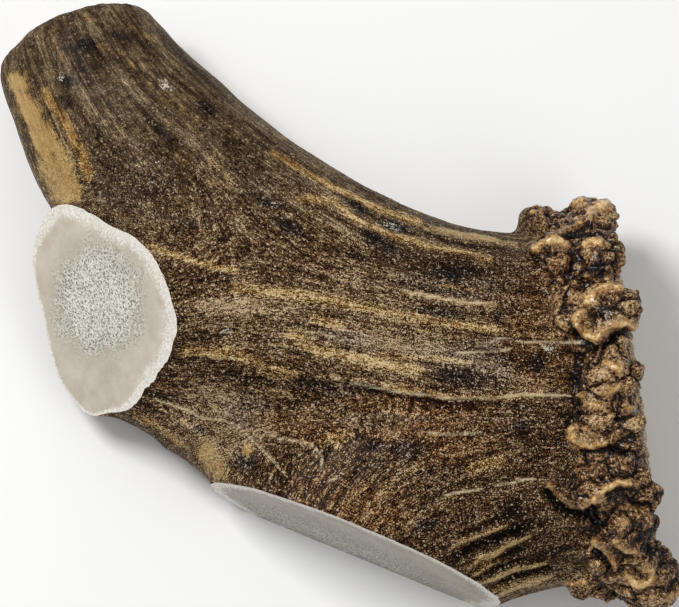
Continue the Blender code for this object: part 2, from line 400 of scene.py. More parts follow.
# %% Crests
CRESTS = (
    (2.0, 1.4, (585, 217), (598, 209), (610, 205)),
    (1.0, 0.6, (585, 217), (566, 229), (545, 241)),
    (1.8, 1.0, (573, 205), (585, 202)),
    (1.6, 0.8, (530, 214), (541, 211)),
    (1.7, 1.1, (531, 250), (540, 245), (553, 240), (564, 246)),
    (2.0, 1.4, (581, 246), (588, 243), (597, 245)),
    (1.4, 1.1, (581, 303), (589, 293), (604, 286), (617, 290)),
    (1.7, 1.7, (580, 311), (572, 317), (571, 325), (582, 334), (592, 340)),
    (1.3, 1.4, (592, 340), (598, 331), (607, 325), (620, 323), (633, 329), (644, 333)),
    (1.4, 1.2, (598, 361), (608, 366), (616, 369)),
    (0.9, 0.7, (633, 369), (644, 363)),
    (1.2, 0.9, (573, 392), (582, 401), (598, 404)),
    (1.3, 0.9, (598, 391), (607, 388), (614, 385)),
    (1.3, 1.0, (620, 407), (633, 409), (638, 404)),
    (1.6, 1.3, (569, 424), (568, 432), (574, 441), (587, 443), (600, 439)),
    (1.0, 0.6, (580, 425), (586, 431), (592, 437)),
    (0.8, 0.4, (569, 466), (577, 462), (587, 463), (596, 470)),
    (1.7, 0.9, (545, 481), (551, 486)),
    (1.3, 0.7, (552, 488), (560, 498), (572, 505), (584, 500)),
    (1.3, 1.2, (586, 497), (597, 487), (611, 479), (624, 480)),
    (1.1, 0.6, (624, 480), (634, 479), (643, 477)),
    (1.3, 0.9, (613, 520), (622, 518)),
    (0.9, 0.6, (615, 505), (626, 501)),
    (1.2, 1.0, (609, 536), (620, 546), (633, 547)),
    (1.4, 1.0, (589, 535), (596, 544), (606, 555), (611, 565)),
    (1.6, 1.3, (622, 568), (627, 577), (636, 581), (646, 576), (647, 566), (638, 561)),
    (1.2, 0.8, (656, 536), (671, 541)),
    (1.6, 0.8, (662, 596), (671, 589)),
    (1.2, 0.8, (562, 576), (572, 580), (582, 577)),
)
print(len(CRESTS), "crests, the tallest", max(row[1] for row in CRESTS), "mm high")

# %% [markdown]
# ## Clefts of the burr
#
# The clefts are the gaps between the knobs, deep enough to hold no light. They are lines like the
# crests, each with a half width and a depth in millimetres, so one helper can serve them both.

# %% Clefts
CLEFTS = (
    (0.9, 1.6, (565, 322), (570, 332), (580, 342), (590, 348)),
    (0.9, 0.45, (574, 352), (570, 372), (571, 392)),
    (0.8, 0.8, (573, 404), (570, 414), (563, 424)),
    (1.0, 2.0, (541, 486), (551, 497), (564, 508), (578, 512), (590, 505)),
    (1.1, 2.0, (586, 512), (592, 520), (588, 530)),
    (0.9, 1.6, (590, 545), (600, 556), (606, 566)),
    (0.6, 0.9, (530, 256), (536, 262)),
    (0.7, 1.0, (560, 235), (578, 234), (590, 236)),
    (0.7, 1.1, (597, 345), (608, 333), (620, 331), (632, 336)),
    (0.6, 0.9, (610, 416), (625, 413), (635, 406)),
    (0.7, 1.0, (577, 450), (592, 448), (606, 446), (622, 452)),
    (0.7, 0.9, (601, 492), (613, 486), (630, 487)),
    (0.7, 0.8, (640, 548), (652, 545), (660, 548)),
)
print(len(CLEFTS), "clefts, the deepest", max(row[1] for row in CLEFTS), "mm deep")

# %% [markdown]
# ## Ribs and grooves of the limbs
#
# Ribs are long, low ridges of bark that run with the grain. Near the brow tine five of them stand
# high and pale, with black grooves between them that are darkened as painted shade. The first
# number of a row is a half width and the second a height or a depth, both in millimetres.

# %% Ribs and grooves
RIBS = (
    (0.7, 0.35, (160, 255), (200, 265), (230, 274), (262, 290), (325, 300), (400, 317),
     (498, 329)),
    (0.5, 0.3, (380, 285), (404, 292), (440, 299), (493, 305)),
    (0.6, 0.45, (200, 352), (250, 361), (285, 368), (325, 376), (380, 383), (440, 394),
     (560, 393)),
    (0.5, 0.25, (288, 333), (317, 349), (342, 355), (375, 361), (430, 368)),
    (0.5, 0.25, (290, 325), (350, 340), (400, 346), (450, 350)),
    (0.4, 0.2, (380, 353), (410, 357), (438, 358), (467, 362)),
    (0.4, 0.15, (415, 430), (450, 434), (490, 431)),
    (0.8, 0.7, (447, 545), (462, 535), (480, 530), (495, 524), (508, 518)),
    (1.0, 0.9, (466, 563), (477, 552), (490, 549), (502, 541), (515, 536), (526, 531)),
    (0.6, 0.6, (470, 571), (484, 562), (498, 555)),
    (0.9, 0.9, (477, 577), (492, 572), (505, 566), (517, 562), (530, 560), (543, 557)),
    (1.2, 0.7, (492, 592), (510, 582), (530, 576), (547, 571)),
    (1.3, 0.4, (400, 213), (433, 231), (462, 240), (495, 243)),
    (0.7, 0.35, (413, 245), (438, 251), (463, 255), (490, 260)),
    (0.8, 0.35, (300, 172), (333, 189), (369, 206), (412, 222)),
    (0.6, 0.3, (333, 203), (354, 220), (376, 231), (425, 246)),
    (0.8, 0.4, (150, 398), (200, 430), (222, 452), (232, 476)),
)
GROOVES = (
    (0.9, 0.7, (455, 551), (470, 543), (487, 537), (502, 531), (519, 525)),
    (0.9, 0.6, (490, 557), (503, 549), (522, 542)),
    (0.6, 0.6, (474, 574), (486, 568), (500, 561), (518, 555)),
    (0.8, 0.7, (490, 583), (512, 571), (530, 567), (548, 562)),
    (0.7, 0.4, (460, 530), (478, 522), (494, 515)),
    (0.6, 0.35, (345, 381), (400, 394), (450, 401), (500, 400)),
    (0.4, 0.3, (410, 226), (440, 241), (470, 248), (500, 250)),
    (0.4, 0.25, (350, 206), (366, 214), (390, 227), (420, 238)),
    (0.4, 0.25, (170, 75), (200, 102), (230, 134), (262, 158)),
    (0.4, 0.2, (150, 120), (186, 168), (214, 196)),
    (0.3, 0.2, (95, 125), (103, 143), (112, 160)),
    (0.4, 0.25, (79, 148), (81, 158), (79, 167)),
)
print(len(RIBS), "ribs and", len(GROOVES), "grooves")

# %% [markdown]
# ## Marks that are only colour
#
# Some marks have no height at all. Thin pale seams and thin dark nicks are each a line of points.
# Gold streaks, where the bark is rubbed towards honey-coloured bone, are lines with a half width
# and a strength. All are kept as lines, because a line stays thin however coarse the skin under it
# is.

# %% Seams, nicks and gold streaks
SEAMS = (
    ((157, 397), (188, 408), (205, 417), (223, 418), (240, 425), (250, 435), (263, 447),
     (285, 470)),
    ((267, 430), (280, 437), (297, 439), (312, 442), (322, 453), (322, 468)),
    ((473, 343), (487, 343), (495, 338), (510, 339), (523, 342), (543, 342), (577, 342)),
    ((452, 353), (473, 351), (497, 350), (507, 348)),
    ((328, 478), (340, 474)),
    ((426, 430), (441, 433), (463, 432), (480, 431)),
    ((350, 381), (400, 391), (450, 397), (493, 397), (518, 393), (564, 394)),
    ((404, 292), (430, 297), (455, 302), (494, 305)),
    ((441, 493), (449, 490), (469, 487), (480, 486)),
    ((491, 482), (509, 480), (520, 476), (531, 476)),
)
NICKS = (
    ((356, 305), (366, 300), (381, 290)),
    ((140, 150), (146, 153)),
    ((188, 288), (196, 293)),
)
GOLD_STREAKS = (
    (0.9, 1, (152, 248), (183, 258), (217, 267), (240, 272)),
    (1.5, 1, (233, 287), (283, 293), (317, 298), (350, 305)),
    (1.3, 1, (350, 305), (383, 313), (417, 319), (452, 325), (497, 329)),
    (1.6, 1, (288, 333), (317, 350), (342, 355), (375, 362), (420, 370)),
    (1.6, 1, (313, 317), (328, 322), (343, 326)),
    (1.6, 1, (185, 350), (233, 352), (270, 367), (297, 372)),
    (1.1, 1, (270, 153), (290, 163), (304, 173), (333, 189), (369, 206), (420, 225)),
    (1.0, 1, (297, 200), (333, 203), (354, 220), (376, 231), (420, 245)),
    (0.9, 1, (413, 245), (438, 251), (463, 255), (490, 261)),
    (0.6, 1, (407, 293), (430, 297), (455, 302), (495, 306)),
    (0.6, 1, (437, 286), (463, 289), (483, 292)),
    (0.8, 1, (380, 353), (410, 357), (438, 358), (467, 362)),
    (0.8, 1, (380, 383), (405, 388), (447, 395), (493, 397), (540, 392)),
    (1.4, 0.8, (470, 565), (484, 557), (500, 551)),
    (1.6, 0.8, (489, 586), (510, 580), (540, 573)),
    (1.5, 1, (466, 466), (480, 462), (501, 458)),
    (0.9, 0.45, (100, 47), (119, 54), (137, 70)),
    (0.8, 0.5, (129, 29), (142, 36), (156, 43)),
    (0.9, 0.45, (150, 84), (169, 101), (203, 124)),
    (1.0, 0.45, (172, 152), (186, 163), (200, 177)),
    (1.0, 0.45, (83, 19), (96, 24)),
    (1.2, 1, (323, 437), (335, 436), (347, 438)),
    (0.9, 1, (135, 412), (160, 425), (185, 445)),
    (1.7, 0.8, (45, 92), (64, 118), (82, 150), (92, 180)),
)
print(len(SEAMS), "seams,", len(NICKS), "nicks and", len(GOLD_STREAKS), "gold streaks")

# %% [markdown]
# ## Stains and painted light
#
# Sap, soil and dried velvet left the bark in several browns. A stain is written as a soft oval: a
# middle, a half length, a half height and a tilt, in pixels and degrees. Ovals are enough, because
# the material breaks their edges up along the grain. Slate is nearly black, violet a dull grey
# brown, rust a warm brown and tan is bare, rubbed bone. The same ovals also carry painted light.
# Shade is painted shade, which darkens the valley below the fold and the hollows beside the burr.
# Pale only lightens, mostly as painted light on the ridge below the bez tine and on two plates of
# the burr. A glint patch is a cluster of painted highlights: bright specks where the grains catch
# the light.

# %% Stains and painted light
STAIN_AND_PAINTED_LIGHT_PATCHES = {
    "slate": (
        (405, 447, 18, 10, 0), (374, 444, 14, 6, 0), (455, 374, 20, 9, 4), (534, 362, 9, 9, 0),
        (437, 312, 20, 5, 8), (445, 276, 18, 5, 10), (379, 243, 20, 8, 30), (290, 228, 18, 7, 25),
        (272, 205, 15, 5, 15), (395, 227, 14, 6, 20), (357, 209, 12, 5, 35), (219, 176, 8, 6, 0),
        (207, 111, 10, 7, 30), (122, 40, 13, 7, 10), (88, 47, 9, 7, 0), (70, 83, 7, 7, 0),
        (67, 103, 8, 6, 0), (505, 508, 12, 7, -35), (514, 526, 9, 6, 0), (491, 534, 7, 6, 0),
        (519, 424, 8, 7, 0), (495, 317, 4, 7, 0), (425, 522, 12, 6, -20), (248, 461, 12, 10, 20),
        (201, 428, 9, 4, 25), (600, 312, 13, 8, 0), (592, 268, 10, 8, -30), (600, 234, 14, 4, -8),
    ),
    "violet": (
        (150, 110, 45, 14, 40), (105, 75, 55, 34, 42), (250, 185, 30, 12, 30),
        (255, 412, 32, 14, 8), (330, 385, 40, 8, 6), (470, 362, 50, 20, 6), (445, 285, 50, 16, 8),
        (590, 265, 22, 16, -20), (600, 312, 18, 12, 0), (345, 336, 30, 8, 20),
        (120, 190, 40, 16, 15),
    ),
    "rust": (
        (545, 330, 40, 55, 0), (560, 300, 30, 60, 0), (350, 500, 60, 26, 15),
        (440, 440, 60, 22, 0), (300, 425, 45, 14, 10), (420, 405, 70, 10, 4),
    ),
    "tan": (
        (20, 84, 11, 8, 50), (32, 112, 22, 9, 60), (47, 142, 24, 12, 62), (61, 174, 30, 16, 75),
        (68, 192, 16, 13, 0), (214, 460, 22, 10, 62), (470, 238, 40, 3.5, 10), (249, 448, 5, 6, 0),
    ),
    # Painted shade: the valley below the fold, the hollows beside the burr and a few darker places.
    "shade": (
        (235, 377, 62, 11, 5), (160, 385, 24, 22, 0), (330, 384, 50, 7, 8), (470, 404, 90, 6, 2),
        (577, 345, 12, 18, 0), (570, 395, 10, 30, 0), (565, 470, 10, 20, 0), (350, 540, 90, 8, 14),
        (505, 530, 60, 40, -25), (515, 550, 45, 30, -20), (450, 270, 40, 14, 8),
        (95, 60, 30, 16, 20),
    ),
    # Mostly painted light: the ridge below the bez tine and two plates of the burr.
    "pale": (
        (390, 345, 75, 24, 10), (250, 318, 65, 28, 14), (220, 425, 40, 40, 45),
        (600, 320, 40, 40, 0), (605, 405, 35, 35, 0),
    ),
    # Painted highlights: clusters of bright specks where the grains catch the light.
    "glint_patch": (
        (167, 87, 9, 6, 40), (160, 163, 4, 3, 0), (154, 184, 3, 2, 0), (391, 226, 12, 4, 20),
        (276, 206, 9, 2, 5), (545, 348, 8, 5, 0), (228, 331, 8, 4, 0), (63, 79, 4, 4, 0),
    ),
}
print("stains:", {name: len(patches) for name, patches in STAIN_AND_PAINTED_LIGHT_PATCHES.items()})

# %% [markdown]
# ## How strongly a point belongs to a form
#
# The next helpers measure how far each point of the skin is from a line, and turn that into a
# bell: 1 on the line and falling softly to 0 beside it. The lines are only true for the side that
# the photograph shows, so every answer fades out where the skin turns away from it.

# %% Distances and bells
END_WIDTH = 0.5
# A low form counts as weakly as the first number. Each millimetre of height adds the second.
COUNTS_LOW, COUNTS_MORE = 0.35, 0.6
# An oval is full in its middle, and has fallen to half where its edge is drawn.
OVAL_POWER = 1.5
OVAL_FALL = 0.7
OUT_OF_REACH = 8


def distance_to(pixels, places):
    """The distance of each place from a line of pixels, and how far it is from the line's ends."""
    line = np.array(px(*pixels))
    steps = np.linalg.norm(np.diff(line, axis=0), axis=1)
    nearest, along = np.full(len(places), np.inf), np.zeros(len(places))
    for number, (start, step) in enumerate(zip(line, steps)):
        span = line[number + 1] - start
        share = np.clip(((places - start) @ span) / step**2, 0, 1)
        distance = np.linalg.norm(places - start - share[:, None] * span, axis=1)
        closer = distance < nearest
        nearest[closer] = distance[closer]
        along[closer] = steps[:number].sum() + step * share[closer]
    return nearest, np.minimum(along, steps.sum() - along)


def tallest(lines, places, faces_up, tapers=0.01):
    """How high these forms stand, and how strongly each point belongs to one, from 0 to 1. Over so
    many millimetres from its ends, a form tapers to half its width."""
    height, belongs = np.zeros(len(places)), np.zeros(len(places))
    for half_width, tall, *pixels in lines:
        distance, from_end = distance_to(pixels, places)
        slim = END_WIDTH + (1 - END_WIDTH) * ease(from_end, 0, tapers)
        bell = np.exp(-((distance / half_width / slim) ** 2)) * faces_up
        height = np.maximum(height, tall * bell)
        belongs = np.maximum(belongs, bell * min(1, COUNTS_LOW + COUNTS_MORE * tall))
    return height, belongs


def patched(patches, places, faces_up):
    """How strongly each point lies in one of the patches, from 0 to 1."""
    inside = np.zeros(len(places))
    for right, down, half_length, half_height, tilt in patches:
        offset = (places - np.array(px((right, down))[0])) * PIXELS_PER_MM
        turn = math.radians(-tilt)
        length = offset @ (math.cos(turn), math.sin(turn)) / half_length
        height = offset @ (-math.sin(turn), math.cos(turn)) / half_height
        oval = np.exp(-((length**2 + height**2) ** OVAL_POWER) * OVAL_FALL)
        inside = np.maximum(inside, oval * faces_up)
    return inside


def nearest_line(lines, places, faces_up):
    """Millimetres to the nearest of the lines, and far away where the skin looks down."""
    nearest = np.min([distance_to(pixels, places)[0] for pixels in lines], axis=0)
    return np.minimum(nearest + OUT_OF_REACH * (1 - faces_up), OUT_OF_REACH)


gap_to_seam = distance_to(SEAMS[0], np.zeros((1, 2)))[0]
print("from the first seam to the picture's middle:", gap_to_seam.round(1), "mm")

# %% [markdown]
# ## Relief that has no name
#
# Three kinds of noise make up the rest. Furrows are noise read in straight-grain coordinates and
# stretched far along the grain, so they run as ridges about 4 mm apart. Swells are slow lumps a
# centimetre or two wide. On the burr, rounded cells 3 to 6 mm across, like pebbles pressed
# together, stand between deep gaps. The saw's stubs get relief too, and then lose it to the saw.

# %% Noise helpers
def noise_at(places, scales, offset=0.0):
    """Smooth noise from -1 to 1, with features as long as the scales."""
    scaled = places / scales + offset
    return np.array([noise.noise(place) for place in scaled.tolist()])


def pebbles_at(places, size, offset=0.0):
    """Rounded cells: 1 at the middle of a pebble and 0 in the gap between two."""
    scaled = (places / size + offset).tolist()
    near = np.array([noise.voronoi(place)[0][:2] for place in scaled])
    return np.clip(near[:, 1] - near[:, 0], 0, 1)


points, normals = read_points(antler.data), read_vectors(antler.data, "normal")
grain = grain_of(points)
burr, seal = burr_masks(points)
print("points to raise:", len(points))

# %% [markdown]
# ## Relief of limbs, burr and seal
#
# Relief is one number for each point: how far it moves out along its own normal. A Displace
# modifier could do this with a texture, but only arithmetic can mix noise with measured lines and
# keep every mask for the colours. Each region gets a relief of its own: furrows and swells on the
# limbs, knobs and pearls on the burr, and a grainy, shallow dome for the seal.

# %% Relief of each region
# In millimetres: along, across and up the limb, or one size for all three.
FURROW, FINE_FURROW, FURROW_PATCH = (42, 3.6, 3.6), (22, 1.9, 1.9), (45, 14, 14)
SWELL, SMALL_SWELL = 14, 5.5
PEBBLE, SMALL_PEBBLE = (6.5, 5.5, 5.5), 2.4
WANDER, WANDERS_OVER = 1.6, 4.5
SEAL_SWELL, SEAL_PEBBLE = 6, 2.6
# A number after a size only shifts the noise, so that no two are alike. One before a noise is how
# many millimetres high it stands.
swell = 0.35 * noise_at(points, SWELL) + 0.16 * noise_at(points, SMALL_SWELL, 7.1)
ridge = 1 - 2 * np.abs(noise_at(grain, FURROW))
fine_ridge = 1 - 2 * np.abs(noise_at(grain, FINE_FURROW, 3.3))
furrowed = 0.35 + 0.65 * ease(noise_at(grain, FURROW_PATCH, 5.9), -0.25, 0.35)
limb_relief = swell + furrowed * (0.3 * ridge + 0.16 * fine_ridge)
wander = WANDER * np.stack([noise_at(points, WANDERS_OVER, 11.0 * k) for k in (1, 2, 3)], 1)
pebble = pebbles_at(points + wander, PEBBLE)
small_pebble = pebbles_at(points + 0.5 * wander, SMALL_PEBBLE, 4.7)
gaps = ease(pebble, 0.14, 0.0)
pearl = burr * ease(small_pebble, 0.15, 0.6) * ease(pebble, 0.05, 0.4)
knobbly = 0.6 * ease(pebble, 0, 0.5) - 0.7 - 0.8 * gaps + 0.6 * pearl
seal_pebble = ease(pebbles_at(points, SEAL_PEBBLE, 9.3), 0, 0.5)
seal_relief = 0.5 * noise_at(points, SEAL_SWELL) + 0.6 * (seal_pebble - 0.5)
for name, part in (("limbs", limb_relief), ("burr", knobbly), ("seal", seal_relief)):
    print(name, "relief from", part.min().round(2), "to", part.max().round(2), "mm")

# %% [markdown]
# ## Raising the skin
#
# The written lines now join in. A crest hides most of the pebbles under it, as a fold of smooth
# bone does, and a little noise along its top keeps it from looking piped on. Ribs and grooves
# taper over their last 6 mm, so that they sink into the bark instead of stopping.

# %% Raise the skin
RIBS_TAPER = 6
CREST_HIDES = 0.75
# A crest keeps this share of its height, and noise of this size adds to it or takes from it.
CREST_KEEPS, CREST_VARIES, CREST_SIZE = 0.85, 0.3, 1.6
DEEPEST, HIGHEST = -2.6, 1.9
VIEW_FROM = np.array((0, -math.cos(PICTURE_TILT), math.sin(PICTURE_TILT)))
# A cosine: skin that is turned past the first number isn't in the picture at all.
TURNED_AWAY, IN_VIEW = -0.05, 0.25
faces_up = ease(normals @ VIEW_FROM, TURNED_AWAY, IN_VIEW)
places = in_picture(points)
crest_height, crest = tallest(CRESTS, places, faces_up)
cleft_depth, cleft = tallest(CLEFTS, places, faces_up)
rib_height, rib = tallest(RIBS, places, faces_up, RIBS_TAPER)
groove_depth, groove = tallest(GROOVES, places, faces_up, RIBS_TAPER)
relief = (1 - burr - seal) * limb_relief + burr * knobbly * (1 - CREST_HIDES * crest)
relief += seal * seal_relief
relief += crest_height * (CREST_KEEPS + CREST_VARIES * noise_at(points, CREST_SIZE))
relief -= cleft_depth
relief += rib_height - groove_depth
# Nothing stands so far out that the piece outgrows its solid.
relief = np.clip(relief, DEEPEST, HIGHEST)
raised = points + normals * relief[:, None]
antler.data.vertices.foreach_set("co", (raised * MM).ravel())
print("relief from", relief.min().round(2), "to", relief.max().round(2), "mm")

# %% [markdown]
# ## How the stains lie
#
# The named stains, the patches of painted light and shade, and the gold streaks cover the side that
# the photograph shows. The rest of the skin needs the same family of colours, so slow noise adds
# stains of its own, long along the grain, and adds them more strongly where nothing is known. Bark
# is also calmer on the upper beam, where it is worn, and gritty towards the burr, whose own knobs
# are smoother: one number says how gritty.

# %% Stains over the whole skin
# strength, size in mm along, across and up, shift, the noise at which it starts and is full
OWN_STAINS = {
    "slate": (1, (22, 8, 8), 4.4, 0.4, 0.65),
    "violet": (0.8, (30, 12, 12), 6.6, 0.1, 0.5),
    "rust": (0.8, (34, 15, 15), 1.7, 0.1, 0.5),
    "tan": (0.7, (30, 6, 6), 2.9, 0.45, 0.7),
    "gold": (0.7, (38, 3.2, 3.2), 8.8, 0.3, 0.6),
}
KNOWN_SIDE_KEEPS = 0.65
unseen = 1 - KNOWN_SIDE_KEEPS * faces_up
# Besides real stains, this holds painted shade, painted light and patches of painted highlights.
stains = {name: patched(patches, places, faces_up) for name, patches in STAIN_AND_PAINTED_LIGHT_PATCHES.items()}
stains["gold"], _ = tallest(GOLD_STREAKS, places, faces_up)
for name, (strength, size, shift, starts, full) in OWN_STAINS.items():
    own = strength * ease(noise_at(grain, size, shift), starts, full) * unseen
    stains[name] = np.maximum(stains[name], own)
# Millimetres up the picture between gritty and calm bark, and how gritty the calmest is.
CALM_ABOVE, GRITTY_BELOW, CALMEST = 62, -10, 0.28
SMOOTHER_BURR = 0.5
calm = ease(points[:, 1], GRITTY_BELOW, CALM_ABOVE) * (1 - burr)
grit = 1 - (1 - CALMEST) * calm - SMOOTHER_BURR * burr
print("grit from", grit.min().round(2), "to", grit.max().round(2))
for name, stain in stains.items():
    print(name, "covers", round(100 * float((stain > 0.5).mean()), 1), "% of the skin")

# %% [markdown]
# ## Keeping the masks with the skin
#
# A mesh can carry numbers on each vertex, called attributes. The saw splits edges, and Blender
# fills in the attributes of the new vertices on its own, so everything that the materials will ask
# for is stored before the cut.

# %% Attributes on the skin
FINE_RIDGE_SHARE = 0.35
# Millimetres to the right of the middle: where fibres start to turn to crust, and have done. The
# border wavers by so many millimetres every so many.
CRUST_STARTS, CRUST_FULL = -10, 45
CRUST_WAVERS, WAVERS_EVERY = 6, 9
PEARL_PATCH = 7
SUNK_KNOB = 0.3


def store(mesh, name, values):
    """Writes one number, or one vector, on each vertex."""
    kind, slot = ("FLOAT_VECTOR", "vector") if values.ndim > 1 else ("FLOAT", "value")
    made = mesh.attributes.new(name, kind, "POINT")
    made.data.foreach_set(slot, values.astype(np.float32).ravel())


ridges = (1 - FINE_RIDGE_SHARE) * ridge + FINE_RIDGE_SHARE * fine_ridge
wavers = CRUST_WAVERS * noise_at(points, WAVERS_EVERY, 3.1)
masks = {
    "relief": relief,
    "ridge": furrowed * ridges * (1 - burr) * (1 - seal),
    "grit": grit,
    "calm": calm,
    "crusty": ease(points[:, 0] + wavers, CRUST_STARTS, CRUST_FULL),
    "burr": burr,
    "seal": seal,
    "crest": crest,
    "pearl": pearl * ease(noise_at(points, PEARL_PATCH, 2.2), -0.2, 0.3),
    # Cleft, gap and groove later darken their hollows as painted shade. Knob lightens the burr's
    # high knobs as painted light and darkens its low ground as painted shade.
    "cleft": cleft,
    "gap": burr * gaps * (1 - crest),
    "knob": burr * (relief + SUNK_KNOB),
    "rib": rib,
    "groove": groove,
    "seam": nearest_line(SEAMS, places, faces_up),
    "nick": nearest_line(NICKS, places, faces_up),
    **stains,
}
store(antler.data, "grain", grain)
for name, values in masks.items():
    store(antler.data, name, values)
print("masks on the skin:", ", ".join(masks))

# %% [markdown]
# ## The saw
#
# Bisect cuts the mesh along a plane and drops the waste. The hole is then closed with a sheet of
# small triangles: the rim's own points and a grid inside it, joined by a Delaunay triangulation,
# which always picks the roundest triangles. The grid matters, because a sawn face that is one big
# polygon could carry no attributes inside it. The grid's rows are staggered and a little uneven, so
# that no four points lie on one circle and there is only one best way to join them.

# %% A grid for a sheet
# All in steps: how far apart two rows are, how far a point strays, and how clear it is of the rim.
ROW_STEP = 0.87
STRAYS_ACROSS, STRAYS_UP = 0.12, 0.1
CLEAR_OF_RIM = 0.6
rng = random.Random(5)


def grid_over(rim, step):
    """Points in staggered rows over all of the rim's width and height, but not close to it."""
    tree = kdtree.KDTree(len(rim))
    for index, place in enumerate(rim):
        tree.insert((place.x, place.y, 0), index)
    tree.balance()
    low = [min(place[axis] for place in rim) for axis in (0, 1)]
    high = [max(place[axis] for place in rim) for axis in (0, 1)]
    grid = []
    for row in range(int((high[1] - low[1]) / (step * ROW_STEP)) + 1):
        for column in range(int((high[0] - low[0]) / step) + 2):
            stray = rng.uniform(-STRAYS_ACROSS, STRAYS_ACROSS)
            x = low[0] + (column + 0.5 * (row % 2) + stray) * step
            y = low[1] + (row * ROW_STEP + rng.uniform(-STRAYS_UP, STRAYS_UP)) * step
            if tree.find((x, y, 0))[2] > CLEAR_OF_RIM * step:
                grid.append(Vector((x, y)))
    return grid


print("rows of a grid lie", ROW_STEP, "of a step apart")

# %% [markdown]
# ## A sheet for one cut
#
# Rim and grid are laid flat for the triangulation, which keeps only the triangles inside the rim.
# Then they go back to the plane of the cut. A rim point finds its own vertex again, so the sheet
# is joined to the bark without a gap.

# %% A sheet for one cut
FACE_STEP = {"bez": 1.2, "brow": 1.3, "beam": 1.6, "split": 3}
# A smaller distance than the first counts as none. The second asks the triangulation for the
# triangles inside the rim.
EXACTLY = 1e-7
INSIDE_ONLY = 1
BARK, SAWN = 0, 1


def close_cut(bm, cut, step):
    """Fills the one open hole of the mesh with a sheet on the plane of the cut."""
    point, direction = cut
    across = direction.orthogonal().normalized()
    up = direction.cross(across)
    rim = [edge for edge in bm.edges if edge.is_boundary]
    # A dict keeps the rim in one order, so that every run gives the same sheet.
    rim_verts = list(dict.fromkeys(vert for edge in rim for vert in edge.verts))
    number = {vert: index for index, vert in enumerate(rim_verts)}
    flat = [Vector(((v.co - point).dot(across), (v.co - point).dot(up))) / MM for v in rim_verts]
    sides = [tuple(number[vert] for vert in edge.verts) for edge in rim]
    places, _, triangles, sources, _, _ = geometry.delaunay_2d_cdt(
        flat + grid_over(flat, step), sides, [], INSIDE_ONLY, EXACTLY
    )
    used = {corner for triangle in triangles for corner in triangle}
    verts = {}
    for index in used:
        known = [source for source in sources[index] if source < len(rim_verts)]
        if known:
            verts[index] = rim_verts[known[0]]
        else:
            place = places[index] * MM
            verts[index] = bm.verts.new(point + across * place.x + up * place.y)
    made = []
    for triangle in triangles:
        made.append(bm.faces.new([verts[corner] for corner in triangle]))
    for face in made:
        face.normal_update()
        if face.normal.dot(direction) < 0:
            face.normal_flip()
        face.material_index = SAWN
        face.smooth = False
    return len(made)


print("steps of the sheets in mm:", FACE_STEP)

# %% [markdown]
# ## Four strokes of the saw
#
# Each cut is made and closed before the next one, so that the split at the end trims the sheets of
# the other three as well. The bark is shaded smooth and the sawn faces flat, which keeps their
# rims crisp.

# %% Cut and close
bm = bmesh.new()
bm.from_mesh(antler.data)
for face in bm.faces:
    face.smooth = True
for name, cut in cuts.items():
    parts = bm.verts[:] + bm.edges[:] + bm.faces[:]
    bmesh.ops.bisect_plane(
        bm, geom=parts, dist=EXACTLY, plane_co=cut[0], plane_no=cut[1], clear_outer=True
    )
    made = close_cut(bm, cut, FACE_STEP[name])
    print(name, "cut closed with", made, "triangles")
open_edges = sum(not edge.is_manifold for edge in bm.edges)
bm.to_mesh(antler.data)
bm.free()
antler.data.update()
triangles = sum(len(face.vertices) - 2 for face in antler.data.polygons)
print("finished skin:", triangles, "triangles,", open_edges, "open edges")

# %% [markdown]
# ## How deep in the bone
#
# On a sawn face the look depends on how far in from the bark a point is: white rim first, then
# hard compact bone, then the spongy core. So each vertex of a sawn face measures its distance to
# the nearest edge that it shares with the bark.

# %% Depth from the bark
# In millimetres: how far from a cut's plane a point may be and still lie on it.
ON_PLANE = 0.002
mesh = antler.data
points = read_points(mesh)
verts_of_kind = [set(), set()]
for face in mesh.polygons:
    verts_of_kind[face.material_index].update(face.vertices)
depth = np.zeros(len(points))
face_verts = {}
for name, (point, direction) in cuts.items():
    height = (points - np.array(point) / MM) @ np.array(direction)
    on_plane = set(np.flatnonzero(np.abs(height) < ON_PLANE).tolist()) & verts_of_kind[SAWN]
    rim = sorted(on_plane & verts_of_kind[BARK])
    face_verts[name] = np.array(sorted(on_plane - verts_of_kind[BARK]))
    tree = kdtree.KDTree(len(rim))
    for index in rim:
        tree.insert(points[index], index)
    tree.balance()
    found = np.array([tree.find(points[index])[2] for index in face_verts[name].tolist()])
    depth[face_verts[name]] = found
    print(name, "face: deepest point is", found.max().round(1), "mm from the bark")

# %% [markdown]
# ## Where the zones of sawn bone lie
#
# The spongy core isn't at an even depth. On the bez face it is an oval a little above the middle.
# On the brow face it is the upper half of an oval that the split has cut through. On the other two
# it follows the bark at the depth of the bony wall. One number per vertex says how far inside the
# core it is: 0 at the core's edge, 1 well inside, and below 0 in the compact bone. The white rim
# isn't even either. On the bez face it is broad on the upper and burr side, and nearly gone
# opposite. Saw dust greys the brow face most, the split less, and the bez face not at all. On the
# brow face, which turns away from the light, the grey is also painted shade.

# %% Core and rim
# An oval core has a middle, a half width and a half height, in millimetres.
BEZ_CORE = (px((100, 300))[0], 12.8, 15.8)
BROW_CORE_MIDDLE, BROW_CORE_HALF, BROW_CORE_RISE = -1.1, 34, 24
# How fast the number grows inside an oval core, and over how many millimetres inside a wall.
OVAL_GROWS = 2.2
WALL_BLENDS = 5
WALL = {"beam": 6.0, "split": 7.5}
RIM_WIDTH = {"beam": 2, "split": 2, "brow": 4.2}
# Narrow and broad, where round the face it is broadest, and the cosines between which it turns
# from the one to the other.
BEZ_RIM_WIDTH = (0.9, 4.4)
BEZ_RIM_BROADEST = math.radians(35)
BEZ_RIM_TURNS = (-0.7, 0.2)
